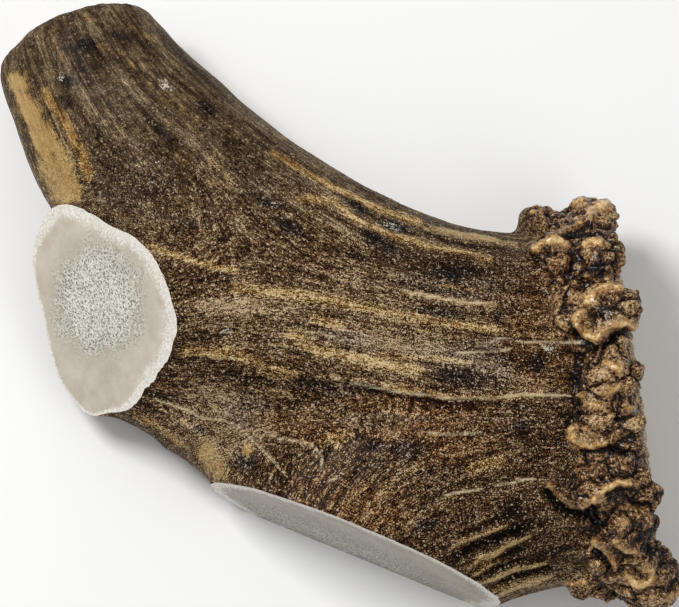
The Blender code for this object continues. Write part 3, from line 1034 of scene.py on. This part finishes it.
# How grey each face is: saw dust, and on the brow face, which turns from the light, also painted
# shade.
DUST_AND_SHADE_ON = {"bez": 0, "beam": 0.2, "brow": 1, "split": 0.6}

core = np.full(len(points), -1.0)
white = np.zeros(len(points))
own = face_verts["bez"]
offset = (in_picture(points[own]) - BEZ_CORE[0]) / BEZ_CORE[1:]
core[own] = OVAL_GROWS * (1 - np.hypot(*offset.T))
turned = np.cos(np.arctan2(offset[:, 1], offset[:, 0]) - BEZ_RIM_BROADEST)
narrow, broad = BEZ_RIM_WIDTH
width = narrow + (broad - narrow) * ease(turned, *BEZ_RIM_TURNS)
white[own] = 1 - depth[own] / width
own = face_verts["brow"]
# The brow face is slanted, so a step along it is longer than the same step in x.
sideways = (points[own, 0] - BROW_CORE_MIDDLE) / abs(cuts["brow"][1].y) / BROW_CORE_HALF
core[own] = OVAL_GROWS * (1 - np.hypot(sideways, points[own, 2] / BROW_CORE_RISE))
for name, wall in WALL.items():
    core[face_verts[name]] = (depth[face_verts[name]] - wall) / WALL_BLENDS
for name, width in RIM_WIDTH.items():
    white[face_verts[name]] = 1 - depth[face_verts[name]] / width
white[depth == 0] = 1
dust_and_shade = np.zeros(len(points))
for name, share in DUST_AND_SHADE_ON.items():
    dust_and_shade[face_verts[name]] = share
dust_and_shade[depth == 0] = 0
bone_masks = {"core": np.clip(core, -1, 1), "white": np.clip(white, -1, 1), "dust_and_shade": dust_and_shade}
for name, values in bone_masks.items():
    store(mesh, name, values)
in_rims = int(((white > 0) & (depth > 0)).sum())
print("points in spongy bone:", int((core > 0).sum()), "and in the white rims:", in_rims)

# %% [markdown]
# ## Colours and nodes
#
# Colours are written as the hex codes that a paint program shows. Blender works in linear light,
# so one function converts them all. Inputs are filled from a dictionary, each with a number, a
# colour or another node's output. A last small function adds one node: its kind, what goes into
# its inputs, and its settings.

# %% Helpers for materials
def hex_colour(code):
    """Linear red, green, blue and opacity of an sRGB hex code."""
    shares = [int(code[i : i + 2], 16) / 255 for i in (1, 3, 5)]
    linear = [s / 12.92 if s <= 0.04045 else ((s + 0.055) / 1.055) ** 2.4 for s in shares]
    return (*linear, 1)


def fill_inputs(tree, node, inputs):
    for place, value in inputs.items():
        if isinstance(value, bpy.types.NodeSocket):
            tree.links.new(value, node.inputs[place])
        else:
            node.inputs[place].default_value = value


def add_node(tree, kind, inputs, out=0, stops=(), **settings):
    """Adds a node, with colour stops if it is a ramp, and gives back one of its outputs."""
    node = tree.nodes.new("ShaderNode" + kind)
    for name, value in settings.items():
        setattr(node, name, value)
    fill_inputs(tree, node, inputs)
    for number, (position, code) in enumerate(stops):
        ramp = node.color_ramp.elements
        stop = ramp[number] if number < len(ramp) else ramp.new(position)
        stop.position = position
        stop.color = hex_colour(code)
    return node.outputs[out]


print("tan in linear light:", [round(share, 3) for share in hex_colour("#a87d3a")])

# %% [markdown]
# ## Antler bark
#
# The bark is the bone's own outer skin, stained brown by sap, soil and dried velvet, then brushed
# clean. It isn't one brown: close up it is a dark ground with bright grains on it, and from a step
# away long streaks of honey, rust and slate run with the grain. All of it starts from one number,
# the tone, which is a sum of small shares: fine grain, streaks along the antler, slow patches, and
# the masks that were stored with the skin. Colour ramps then turn the tone into colour.
#
# The bark's coordinates come first: plain millimetres, straight-grain millimetres, and every mask
# that the skin carries. Sawn bone starts the same way, so one function serves both.

# %% Bark: coordinates and masks
def start_material(name, mask_names):
    """A material's node tree, its plain millimetres, and the masks that it reads off the skin."""
    material = bpy.data.materials.new(name)
    material.use_nodes = True
    tree = material.node_tree
    metres = add_node(tree, "TexCoord", {}, out="Object")
    in_place = add_node(tree, "VectorMath", {0: metres, 1: (1 / MM,) * 3}, operation="MULTIPLY")
    signals = {
        mask: add_node(tree, "Attribute", {}, out="Fac", attribute_name=mask)
        for mask in mask_names
    }
    return material, tree, in_place, signals


bark, tree, in_place, signals = start_material("antler_bark", masks)
in_grain = add_node(tree, "Attribute", {}, out="Vector", attribute_name="grain")
print(len(signals), "masks reach the bark")

# %% [markdown]
# ## The grain of the bark
#
# Nine noises make the grain, each with a real size. Strands, threads, streaks and bands are long
# along the antler and read the straight-grain coordinates. Specks, mottles, lumps and cells are as
# wide as they are long, so plain millimetres do. The finest grain of real bark is about 0.15 mm,
# less than one pixel here, so the specks are drawn at 0.27 mm and the cells at 0.38 mm.

# %% Bark: noise
GRAIN_CELL = 0.38
# How far apart two noises are read, so that no two are alike.
NOISES_APART = 37.0
# name: coordinates, feature size in mm each way, detail, roughness, distortion
BARK_NOISES = {
    "speck": (in_place, (0.27, 0.27, 0.27), 1, 0.5, 0),
    "strand": (in_grain, (1.7, 0.36, 0.36), 2, 0.6, 0.5),
    "thread": (in_grain, (8, 0.8, 0.8), 2, 0.6, 0.4),
    "mottle": (in_place, (2.2, 2.2, 2.2), 3, 0.6, 0.4),
    "streak": (in_grain, (26, 1.8, 1.8), 4, 0.62, 0.5),
    "band": (in_grain, (60, 8, 8), 3, 0.55, 0.8),
    "blotch": (in_grain, (20, 9, 9), 3, 0.6, 0.5),
    "lump": (in_place, (0.8, 0.8, 0.8), 2, 0.6, 0.5),
}
for number, (name, (vector, lengths, detail, rough, twist)) in enumerate(BARK_NOISES.items()):
    scale = tuple(1 / length for length in lengths)
    shrunk = add_node(
        tree,
        "VectorMath",
        {0: vector, 1: scale, 2: (NOISES_APART * number, 0, 0)},
        operation="MULTIPLY_ADD",
    )
    signals[name] = add_node(
        tree,
        "TexNoise",
        {"Vector": shrunk, "Scale": 1, "Detail": detail, "Roughness": rough, "Distortion": twist},
    )
grain_cells = add_node(
    tree, "TexVoronoi", {"Vector": in_place, "Scale": 1 / GRAIN_CELL}, out="Color"
)
signals["cell"] = add_node(tree, "SeparateXYZ", {0: grain_cells})
lump = add_node(tree, "Math", {0: signals["lump"], 1: -0.5}, operation="ADD")
signals["bead"] = add_node(tree, "Math", {0: signals["burr"], 1: lump}, operation="MULTIPLY")
print(len(signals), "signals for the bark:", ", ".join(signals))

# %% [markdown]
# ## Adding up the tone
#
# Each row names a signal, the value at which it adds nothing, and how strongly it counts. The fine
# rows are scaled by how gritty the bark is, so that the upper beam stays calm, and one broad row
# makes calm bark a little paler. The last rows are the forms: ribs and ridges are rubbed lighter,
# the burr's high knobs and beads are lightened as painted light, and the burr's gaps, the grooves
# and the clefts are darkened as painted shade.

# %% Bark: tone
FINE_SHARES = (
    ("speck", 0.5, 2.3),
    ("cell", 0.5, 0.55),
    ("strand", 0.5, 2.0),
    ("thread", 0.5, 1.0),
)
# Towards the burr the bark turns from fibres to crust: more grain, fewer strands.
CRUST_SHARES = (("speck", 0.5, 0.6), ("strand", 0.5, -0.7), ("thread", 0.5, -0.3))
BROAD_SHARES = (
    ("mottle", 0.5, 0.55),
    ("streak", 0.5, 0.95),
    ("band", 0.5, 0.4),
    ("blotch", 0.5, 0.5),
    ("grit", 1.0, -0.15),
    ("relief", 0.0, 0.12),
    ("ridge", 0.0, 0.2),
    ("rib", 0.0, 0.28),
    ("gold", 0.0, 0.2),
    # Shade is painted shade. Pale is mostly painted light.
    ("shade", 0.0, -0.22),
    ("pale", 0.0, 0.28),
    ("slate", 0.0, -0.19),
    ("burr", 0.0, 0.18),
    # Knob and bead lighten the burr's high knobs and lumps as painted light, and knob darkens its
    # low ground as painted shade.
    ("knob", 0.0, 0.16),
    ("bead", 0.0, 2.6),
    # Painted shade in the creases: gaps of the burr, grooves and clefts.
    ("gap", 0.0, -0.45),
    ("groove", 0.0, -0.6),
    ("cleft", 0.0, -0.7),
)
BARK_TONE = 0.27


def add_up(tree, signals, start, shares):
    """A start value plus each signal's distance from its rest, times its strength."""
    total = start
    for name, rest, strength in shares:
        share = add_node(
            tree,
            "Math",
            {0: signals[name], 1: strength, 2: -rest * strength},
            operation="MULTIPLY_ADD",
        )
        total = add_node(tree, "Math", {0: share, 1: total}, operation="ADD")
    return total


fine = add_up(tree, signals, 0, FINE_SHARES)
crust = add_up(tree, signals, 0, CRUST_SHARES)
fine = add_node(tree, "Math", {0: crust, 1: signals["crusty"], 2: fine}, operation="MULTIPLY_ADD")
broad = add_up(tree, signals, BARK_TONE, BROAD_SHARES)
tone = add_node(tree, "Math", {0: fine, 1: signals["grit"], 2: broad}, operation="MULTIPLY_ADD")
print("the tone adds up", len(FINE_SHARES + CRUST_SHARES + BROAD_SHARES), "shares")

# %% [markdown]
# ## The browns of bark
#
# Each stain has a ramp of its own, from the soil in its pits to its rubbed grains. All of them are
# warm in the dark and lose colour towards the light, as dried sap over pale bone does. Olive is
# for the calm upper beam, amber for the burr, and slate for where soil and sap have blackened the
# bark.

# %% Bark: ramps
BROWN = (
    (0.0, "#0e0501"), (0.17, "#281507"), (0.35, "#442b16"), (0.5, "#5d422a"),
    (0.65, "#795d40"), (0.83, "#9c805b"), (1.0, "#cdb592"),
)
VIOLET = (
    (0.0, "#0c0605"), (0.2, "#271a15"), (0.4, "#46372f"),
    (0.6, "#6b5c51"), (0.8, "#948473"), (1.0, "#c4b6a2"),
)
RUST = (
    (0.0, "#120501"), (0.2, "#2f1606"), (0.4, "#533116"),
    (0.6, "#7d532d"), (0.8, "#a37948"), (1.0, "#cda776"),
)
OLIVE = (
    (0.0, "#0c0703"), (0.2, "#241a0f"), (0.4, "#403323"),
    (0.6, "#665842"), (0.8, "#8c7c61"), (1.0, "#bbab8c"),
)
AMBER = (
    (0.0, "#120501"), (0.2, "#311a0b"), (0.4, "#583820"),
    (0.6, "#7f5a37"), (0.8, "#a68153"), (1.0, "#d4b687"),
)
GOLD = (
    (0.0, "#1c1005"), (0.25, "#4a3214"), (0.5, "#85602e"),
    (0.7, "#ab8448"), (0.85, "#c7a56b"), (1.0, "#e2cb9b"),
)
SLATE = (
    (0.0, "#080605"), (0.3, "#1a1614"), (0.5, "#302b29"),
    (0.7, "#57514d"), (0.85, "#847f77"), (1.0, "#c4beb4"),
)
RAMPS = (BROWN, VIOLET, RUST, OLIVE, AMBER, GOLD, SLATE)
print("brown ramps:", len(RAMPS), "with", sum(len(ramp) for ramp in RAMPS), "stops")

# %% [markdown]
# ## Stains over the ground colour
#
# The ground is brown. Every stain's ramp reads the same tone, so the speckle runs on through every
# stain. A stain's edge would be too soft as stored, so streaks and grain are added to it before it
# is cut off, and it breaks up along the grain. Every later zone is laid on in the same way, so one
# function lays a paint over a colour wherever a signal has passed two levels.

# %% Bark: ground colour and stains
def lay_over(tree, colour, paint, signal, levels, hides=1, kind="SMOOTHSTEP"):
    """The new colour, and the share of it that is paint: none at the first of two levels, and as
    much as it hides at the second."""
    starts, full = levels
    share = add_node(
        tree, "MapRange", {0: signal, 1: starts, 2: full, 3: 0, 4: hides}, interpolation_type=kind
    )
    mixed = add_node(tree, "Mix", {0: share, 6: colour, 7: paint}, out=2, data_type="RGBA")
    return mixed, share


# name, the levels where it starts and where it is full, how much it hides, its ramp
STAINS = (
    ("violet", (0.15, 0.9), 0.5, VIOLET),
    ("rust", (0.15, 0.9), 0.65, RUST),
    ("calm", (0.0, 0.9), 0.8, OLIVE),
    ("burr", (0.2, 0.9), 0.8, AMBER),
    ("gold", (0.2, 0.95), 0.85, GOLD),
    ("slate", (0.2, 1.0), 0.68, SLATE),
)
BREAK_UP = (("streak", 0.5, 1.2), ("strand", 0.5, 1.1), ("mottle", 0.5, 0.8), ("speck", 0.5, 0.8))
broken = add_up(tree, signals, 0, BREAK_UP)
colour = add_node(tree, "ValToRGB", {0: tone}, stops=BROWN)
for name, levels, hides, stops in STAINS:
    edge = add_node(tree, "Math", {0: signals[name], 1: broken}, operation="ADD")
    stain = add_node(tree, "ValToRGB", {0: tone}, stops=stops)
    colour, _ = lay_over(tree, colour, stain, edge, levels, hides)
print("stains over the brown:", [row[0] for row in STAINS])

# %% [markdown]
# ## Rubbed bone and the seal
#
# Where the bark is rubbed through, the bone under it is honey-tan and almost smooth. The tall
# ribs are rubbed in the same way, with crisper edges. The seal is bare, pale bone with soil in its
# pits. Rubbing takes the speckle off, so both ramps read a softened tone.

# %% Bark: rubbed bone and seal
RUBBED = (
    (0.2, "#573e1f"), (0.4, "#8a6b3e"), (0.52, "#a4854f"),
    (0.65, "#b99a63"), (0.9, "#d8c291"),
)
SEAL = (
    (0.1, "#3d3124"), (0.3, "#857151"), (0.5, "#b19b76"),
    (0.75, "#cfbc98"), (1.0, "#e8dcc2"),
)
SOFTENED = (("tone", 0.0, 0.4),)
SOFT_START = 0.38
SEAL_SHARES = (("lump", 0.5, 1.3), ("mottle", 0.5, 0.9), ("blotch", 0.5, 0.5))
signals["tone"] = tone
soft_tone = add_up(tree, signals, SOFT_START, SOFTENED)
seal_tone = add_up(tree, signals, soft_tone, SEAL_SHARES)
seal_bone = add_node(tree, "ValToRGB", {0: seal_tone}, stops=SEAL)
rubbed = add_node(tree, "ValToRGB", {0: soft_tone}, stops=RUBBED)
# signal, how far noise breaks up its edge, its two levels, how much it hides, its kind of edge
RUBBED_ZONES = (
    ("tan", 0.8, (0.15, 0.8), 0.95, "SMOOTHSTEP"),
    ("rib", 0.5, (0.5, 0.7), 0.85, "LINEAR"),
)
rubbed_shares = []
for name, breaks, (starts, full), hides, kind in RUBBED_ZONES:
    edge = add_node(
        tree, "Math", {0: broken, 1: breaks, 2: signals[name]}, operation="MULTIPLY_ADD"
    )
    limits = {0: edge, 1: starts, 2: full, 3: 0, 4: hides}
    rubbed_shares.append(add_node(tree, "MapRange", limits, interpolation_type=kind))
tan_share, rib_share = rubbed_shares
rubbed_share = add_node(tree, "Math", {0: tan_share, 1: rib_share}, operation="MAXIMUM")
for share, paint in ((signals["seal"], seal_bone), (rubbed_share, rubbed)):
    colour = add_node(tree, "Mix", {0: share, 6: colour, 7: paint}, out=2, data_type="RGBA")
print("rubbed bone and seal have", len(RUBBED), "and", len(SEAL), "colour stops")

# %% [markdown]
# ## The horn of the crests
#
# The high crests and pearls of the burr are polished like horn: amber low on their flanks, and
# cream on top. It is their height that tells the colour, with slow mottles and hardly a speck. So
# their ramp reads the masks of crest and pearl, and not the tone.

# %% Bark: horn of the crests
HORN = (
    (0.1, "#301808"), (0.35, "#643f20"), (0.58, "#956a39"),
    (0.8, "#be9456"), (1.0, "#e3c68f"),
)
HORN_START = -0.12
HORN_SHARES = (("horn", 0.0, 0.95), ("mottle", 0.5, 1.5), ("lump", 0.5, 0.8), ("speck", 0.5, 0.5))
HORN_BREAKS = (("mottle", 0.5, 1.7), ("lump", 0.5, 1.0), ("speck", 0.5, 0.4))
HORN_LEVELS, HORN_HIDES = (0.35, 0.9), 0.92
PEARL_COUNTS = 0.72
pearls = add_node(tree, "Math", {0: signals["pearl"], 1: PEARL_COUNTS}, operation="MULTIPLY")
signals["horn"] = add_node(tree, "Math", {0: pearls, 1: signals["crest"]}, operation="MAXIMUM")
horn_tone = add_up(tree, signals, HORN_START, HORN_SHARES)
horn = add_node(tree, "ValToRGB", {0: horn_tone}, stops=HORN)
horn_edge = add_up(tree, signals, signals["horn"], HORN_BREAKS)
colour, horn_share = lay_over(tree, colour, horn, horn_edge, HORN_LEVELS, HORN_HIDES)
print("horn has", len(HORN), "colour stops, and hides at most", HORN_HIDES, "of the bark")

# %% [markdown]
# ## Seams, nicks, painted shade and glints
#
# Seams are hair-thin cream lines and nicks are dark ones. The skin stores the distance to each
# line, and a distance that is read with a little noise added turns into a line with a ragged edge,
# far thinner than the squares of the skin. Clefts are darkened nearly black as painted shade. Glint
# patches are ragged clusters of painted highlights in a few places, and glints are painted
# highlights on single grains anywhere.

# %% Bark: lines, painted shade and glints
SEAM_BREAKS, NICK_BREAKS = (("speck", 0.5, 1.28),), (("speck", 0.5, 0.48),)
GLINT_PATCH_BREAKS = (("lump", 0.5, 1.3), ("speck", 0.5, 1.0), ("strand", 0.5, 0.8))
GLINT_PATCH_COUNTS = 0.6
GLINT_HIDES = 0.5
seam_edge = add_up(tree, signals, signals["seam"], SEAM_BREAKS)
nick_edge = add_up(tree, signals, signals["nick"], NICK_BREAKS)
glint_patch = add_node(tree, "Math", {0: signals["glint_patch"], 1: GLINT_PATCH_COUNTS}, operation="MULTIPLY")
glint_patch_edge = add_up(tree, signals, glint_patch, GLINT_PATCH_BREAKS)
glints = add_node(tree, "Math", {0: signals["grit"], 1: GLINT_HIDES}, operation="MULTIPLY")
# signal, the levels where it starts and where it is full, how much it hides, its colour
LINES_AND_FLECKS = (
    (seam_edge, (0.42, 0.12), 0.85, "#d9c8a4"),
    (nick_edge, (0.3, 0.12), 0.9, "#120d09"),
    # Clefts are painted shade, nearly black.
    (signals["cleft"], (0.3, 0.85), 0.9, "#0c0805"),
    # Glints, then glint patches: painted highlights, cream specks and clusters of them.
    (signals["cell"], (0.95, 0.975), glints, "#d8c9ac"),
    (glint_patch_edge, (0.5, 0.68), 0.8, "#d9d0bd"),
)
for edge, levels, hides, code in LINES_AND_FLECKS:
    colour, _ = lay_over(tree, colour, hex_colour(code), edge, levels, hides, "LINEAR")
print("bark so far:", len(tree.nodes), "nodes")

# %% [markdown]
# ## How the bark takes the light
#
# Bone is a dielectric with an IOR near 1.55. Bark is dull: its pits trap the light that would be
# mirrored, so its plain reflection is turned far down and its darks stay warm. The rubbed zones,
# the crests and partly the burr are polished like wax, so roughness falls from about 0.7 to 0.4
# there. A thin clear coat stands for that polish and gives the crests their highlights.

# %% Bark: gloss
BONE_IOR = 1.55
BARK_SPECULAR = 0.05
DULL_ROUGH, POLISHED_ROUGH = 0.68, 0.38
DULL_COAT, POLISHED_COAT = 0.015, 0.7
COAT_ROUGH = 0.16
RUBBED_POLISH = 0.4
CELLS_SHINE = (("cell", 0.0, -0.2),)
BURR_WAXED = (("burr", 0.0, 0.45),)
polish = add_node(tree, "Math", {0: rubbed_share, 1: RUBBED_POLISH}, operation="MULTIPLY")
polish = add_node(tree, "Math", {0: polish, 1: horn_share}, operation="MAXIMUM")
roughness = add_node(tree, "MapRange", {0: polish, 3: DULL_ROUGH, 4: POLISHED_ROUGH})
roughness = add_up(tree, signals, roughness, CELLS_SHINE)
waxed = add_up(tree, signals, polish, BURR_WAXED)
coat = add_node(tree, "MapRange", {0: waxed, 3: DULL_COAT, 4: POLISHED_COAT})
print("coat from", DULL_COAT, "on dull bark to", POLISHED_COAT, "on the crests")

# %% [markdown]
# ## The bark's bump
#
# The finest grain is too small for the squares of the skin. Real displacement would need millions
# of them, so bump only tilts the light there, as if grains 0.4 mm high stood on the bark. Polished
# and calm bark have less of it. The surface is then complete, and all its inputs are filled at
# once.

# %% Bark: bump and surface
BUMP_DEPTH = 0.4 * MM
BUMP_ON_POLISH = 0.3
GRAIN_SHARES = (("strand", 0.0, 0.6), ("bead", 0.0, 5.0))
grain_height = add_up(tree, signals, signals["speck"], GRAIN_SHARES)
strength = add_node(tree, "MapRange", {0: polish, 3: 1, 4: BUMP_ON_POLISH})
strength = add_node(tree, "Math", {0: strength, 1: signals["grit"]}, operation="MULTIPLY")
bump_inputs = {"Strength": strength, "Distance": BUMP_DEPTH, "Height": grain_height}
bark_surface = {
    "Base Color": colour,
    "IOR": BONE_IOR,
    "Specular IOR Level": BARK_SPECULAR,
    "Roughness": roughness,
    "Coat Weight": coat,
    "Coat Roughness": COAT_ROUGH,
    "Normal": add_node(tree, "Bump", bump_inputs, out="Normal"),
}
fill_inputs(tree, tree.nodes["Principled BSDF"], bark_surface)
print("bark material:", len(tree.nodes), "nodes")

# %% [markdown]
# ## Sawn bone
#
# A fresh cut through antler shows three zones. Under the bark is a white, fibrous rim. Inside it
# lies compact bone, dense and ivory grey. The middle is spongy bone: a mesh of white bars round
# pores that are less than a millimetre apart, grey with dust from the saw. The fine bars and the
# dust would be 0.1 mm, less than one pixel, so they are drawn at 0.4 mm and 0.34 mm.

# %% Sawn bone: coordinates
sawn, tree, in_place, signals = start_material("sawn_bone", bone_masks)
PORE_SLANT = math.radians(-45)
# A pore is full up to the first distance from its middle, and has ended at the second.
PORE_FULL, PORE_ENDS = 0.1, 0.5
# name: feature size in mm each way, then detail, roughness and distortion if it is a noise. Pores
# stand about 0.7 mm apart, each a dark fleck longer along the slant than across it.
SAWN_PATTERNS = {
    "bars": ((0.7, 0.42, 0.5), 2, 0.6, 0.5),
    "cloud": ((7, 7, 7), 3, 0.55, 0.3),
    "drift": ((3, 3, 3), 2, 0.5, 0.3),
    "fibre": ((0.4, 0.8, 0.7), 3, 0.6, 0.3),
    "dust": ((0.34, 0.34, 0.34), 1, 0.5, 0),
    "pore": ((0.8, 0.55, 0.6),),
}
for name, (lengths, *noise_settings) in SAWN_PATTERNS.items():
    slanted = {"Vector": in_place, "Rotation": (0, 0, PORE_SLANT), "Scale": lengths}
    shrunk = add_node(tree, "Mapping", slanted, vector_type="TEXTURE")
    if noise_settings:
        inputs = dict(zip(("Detail", "Roughness", "Distortion"), noise_settings))
        signals[name] = add_node(tree, "TexNoise", {"Vector": shrunk, "Scale": 1, **inputs})
    else:
        from_pore = add_node(tree, "TexVoronoi", {"Vector": shrunk, "Scale": 1}, out="Distance")
        limits = {0: from_pore, 1: PORE_FULL, 2: PORE_ENDS, 3: 1, 4: 0}
        signals[name] = add_node(tree, "MapRange", limits)
print("signals for the sawn bone:", ", ".join(signals))

# %% [markdown]
# ## Three kinds of bone, and dust with painted shade
#
# Compact bone is close to one ivory colour, with slow clouds. The spongy core is paler in its
# middle, where the bars of bone are thickest, and lilac grey near its edge, where saw dust fills
# the pores; each pore is a dark fleck. The rim is white and fibrous. Each has a ramp of its own, as
# the stains of the bark have, and the grey of saw dust and painted shade has a fourth.

# %% Sawn bone: ramps
COMPACT = ((0.25, "#b1a797"), (0.5, "#bfb6a6"), (0.75, "#cbc3b5"))
SPONGY = (
    (0.0, "#5d5753"), (0.3, "#8b857f"), (0.5, "#a8a299"),
    (0.7, "#c6c2b7"), (1.0, "#ecebe2"),
)
SAW_DUST_AND_SHADE = ((0.15, "#3a3634"), (0.4, "#716c68"), (0.6, "#8f8a85"), (0.9, "#b9b4ad"))
RIM = ((0.3, "#c2bbaf"), (0.5, "#dcd7cd"), (0.7, "#f1eee8"))
COMPACT_SHARES = (("cloud", 0.5, 1.0), ("drift", 0.5, 0.4), ("dust", 0.5, 0.25))
SPONGY_SHARES = (
    ("core", 0.0, 0.22), ("bars", 0.5, 0.8), ("pore", 0.2, -0.65),
    ("dust", 0.5, 1.2), ("drift", 0.5, 0.3),
)
DUST_AND_SHADE_SHARES = (("bars", 0.5, 1.2), ("pore", 0.2, -0.5), ("cloud", 0.5, 0.5))
BONE_RAMPS = (
    (0.5, COMPACT_SHARES, COMPACT),
    (0.42, SPONGY_SHARES, SPONGY),
    (0.5, DUST_AND_SHADE_SHARES, SAW_DUST_AND_SHADE),
    (0.0, (("fibre", 0.0, 1.0),), RIM),
)
compact, spongy, dust_and_shade_grey, rim = (
    add_node(tree, "ValToRGB", {0: add_up(tree, signals, start, shares)}, stops=stops)
    for start, shares, stops in BONE_RAMPS
)
print("colour stops:", [len(stops) for _, _, stops in BONE_RAMPS])

# %% [markdown]
# ## Where one kind of bone ends
#
# The masks say how deep in the bone a point is. Their edges alone would be too even, so noise is
# added to them: the core ends in clouds, and the rim reaches into the compact bone in short fibres.
# The core is laid on first, then the grey of saw dust and painted shade over all of the face, and
# the clean rim last.

# %% Sawn bone: zones
CORE_BREAKS = (("cloud", 0.5, 1.6), ("drift", 0.5, 0.9), ("dust", 0.5, 1.2))
RIM_BREAKS = (("fibre", 0.5, 1.1), ("drift", 0.5, 0.8))
CORE_LEVELS, RIM_LEVELS = (-0.25, 0.8), (0.0, 0.6)
DUST_AND_SHADE_HIDES = 0.42
core_edge = add_up(tree, signals, signals["core"], CORE_BREAKS)
rim_edge = add_up(tree, signals, signals["white"], RIM_BREAKS)
bone, core_share = lay_over(tree, compact, spongy, core_edge, CORE_LEVELS)
# The grey of saw dust, which is also painted shade on the brow face.
bone, _ = lay_over(tree, bone, dust_and_shade_grey, signals["dust_and_shade"], (0, 1), DUST_AND_SHADE_HIDES, "LINEAR")
bone, _ = lay_over(tree, bone, rim, rim_edge, RIM_LEVELS)
print("sawn bone so far:", len(tree.nodes), "nodes")

# %% [markdown]
# ## How sawn bone takes the light
#
# It is the same bone, so its IOR is the bark's. A saw leaves it matt: roughness is about 0.6, and
# there is no coat. Bump sinks the pores of the core and lifts its bars, and gives the rim's fibres
# a trace of height.

# %% Sawn bone: gloss and bump
SAWN_SPECULAR, SAWN_ROUGH = 0.3, 0.6
PIT_DEPTH = 0.35 * MM
PIT_STRENGTH = 0.6
pits = add_up(tree, signals, signals["bars"], (("pore", 0.0, -1.0),))
pits = add_node(tree, "Math", {0: core_share, 1: pits}, operation="MULTIPLY")
pits = add_up(tree, signals, pits, (("fibre", 0.0, 0.3),))
bump_inputs = {"Strength": PIT_STRENGTH, "Distance": PIT_DEPTH, "Height": pits}
sawn_surface = {
    "Base Color": bone,
    "IOR": BONE_IOR,
    "Specular IOR Level": SAWN_SPECULAR,
    "Roughness": SAWN_ROUGH,
    "Normal": add_node(tree, "Bump", bump_inputs, out="Normal"),
}
fill_inputs(tree, tree.nodes["Principled BSDF"], sawn_surface)
print("sawn bone material:", len(tree.nodes), "nodes")

# %% [markdown]
# ## Dressing the skin
#
# The skin's faces already know which of two slots they belong to: the saw gave its faces the second
# one. So the materials only have to be hung up in that order. Then the skin rides with the one body
# and stands in for the solid, which is hidden.

# %% Dress the skin
mesh.materials.append(bark)
mesh.materials.append(sawn)
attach(antler, "root")
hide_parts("antler")
print("materials on the skin:", [material.name for material in mesh.materials])

# %% [markdown]
# ## The floor
#
# The piece lies on a sheet of white seamless paper, which is matt and very slightly rough. To the
# eye it is nothing but a soft shadow on white, so it needs no pattern: one sheet, far larger than
# the picture, hides its own edges.

# %% Floor
FLOOR_REACH = 3
PAPER_ROUGH = 0.9
corners = [(x * FLOOR_REACH, y * FLOOR_REACH, 0) for x, y in ((-1, -1), (1, -1), (1, 1), (-1, 1))]
floor_mesh = bpy.data.meshes.new("floor")
floor_mesh.from_pydata(corners, [], [(0, 1, 2, 3)])
floor = bpy.data.objects.new("floor", floor_mesh)
bpy.context.scene.collection.objects.link(floor)
paper = bpy.data.materials.new("seamless_paper")
paper.use_nodes = True
paper_look = {"Base Color": hex_colour("#f7f7f6"), "Roughness": PAPER_ROUGH}
fill_inputs(paper.node_tree, paper.node_tree.nodes["Principled BSDF"], paper_look)
floor_mesh.materials.append(paper)
print("floor:", 2 * FLOOR_REACH, "m across")

# %% [markdown]
# ## The light
#
# The photograph has soft light from the upper left, and its shadows are filled. Two square
# softboxes do the same: a smaller, stronger key, and a broad fill opposite. A plain white world
# keeps the hollows open.

# %% Light
# name, place in metres, width in metres, watts
KEY = ("key", (-0.5, 0.35, 0.85), 0.35, 7.4)
FILL = ("fill", (0.7, -0.6, 0.9), 0.8, 2.6)
LIT_POINT = Vector((0, 0, 0.02))
WORLD_LIGHT = {"Color": hex_colour("#ffffff"), "Strength": 0.4}


def add_softbox(name, place, size, watts):
    """A square light that looks at the lit point."""
    light = bpy.data.objects.new(name, bpy.data.lights.new(name, "AREA"))
    light.data.size = size
    light.data.energy = watts
    light.location = place
    light.rotation_mode = "QUATERNION"
    light.rotation_quaternion = (LIT_POINT - Vector(place)).to_track_quat("-Z", "Y")
    bpy.context.scene.collection.objects.link(light)


for softbox in (KEY, FILL):
    add_softbox(*softbox)
world = bpy.data.worlds.new("studio")
world.use_nodes = True
fill_inputs(world.node_tree, world.node_tree.nodes["Background"], WORLD_LIGHT)
bpy.context.scene.world = world
bpy.context.scene.view_settings.view_transform = "Standard"
print("softboxes:", KEY[0], KEY[3], "W and", FILL[0], FILL[3], "W")

# %% [markdown]
# ## The camera
#
# The photograph looks almost straight down, 77 degrees above the floor, and shows hardly any
# perspective. So the camera has a very long lens and stands far off. How far follows from the
# picture's width, its pixels per millimetre and the lens.

# %% Camera
LENS = 600
SENSOR_WIDTH = 36
PICTURE_WIDTH = 679
SEES_AS_FAR_AS = 20
frame_width = PICTURE_WIDTH / PIXELS_PER_MM * MM
camera = bpy.data.objects.new("camera", bpy.data.cameras.new("camera"))
camera.data.lens = LENS
camera.data.sensor_width = SENSOR_WIDTH
camera.data.clip_end = SEES_AS_FAR_AS
away = frame_width * LENS / SENSOR_WIDTH
camera.location = Vector(PICTURE_AIM * MM) + Vector(VIEW_FROM) * away
camera.rotation_mode = "QUATERNION"
camera.rotation_quaternion = Vector(-VIEW_FROM).to_track_quat("-Z", "Y")
bpy.context.scene.collection.objects.link(camera)
bpy.context.scene.camera = camera
print("the camera stands", round(away, 2), "m away")
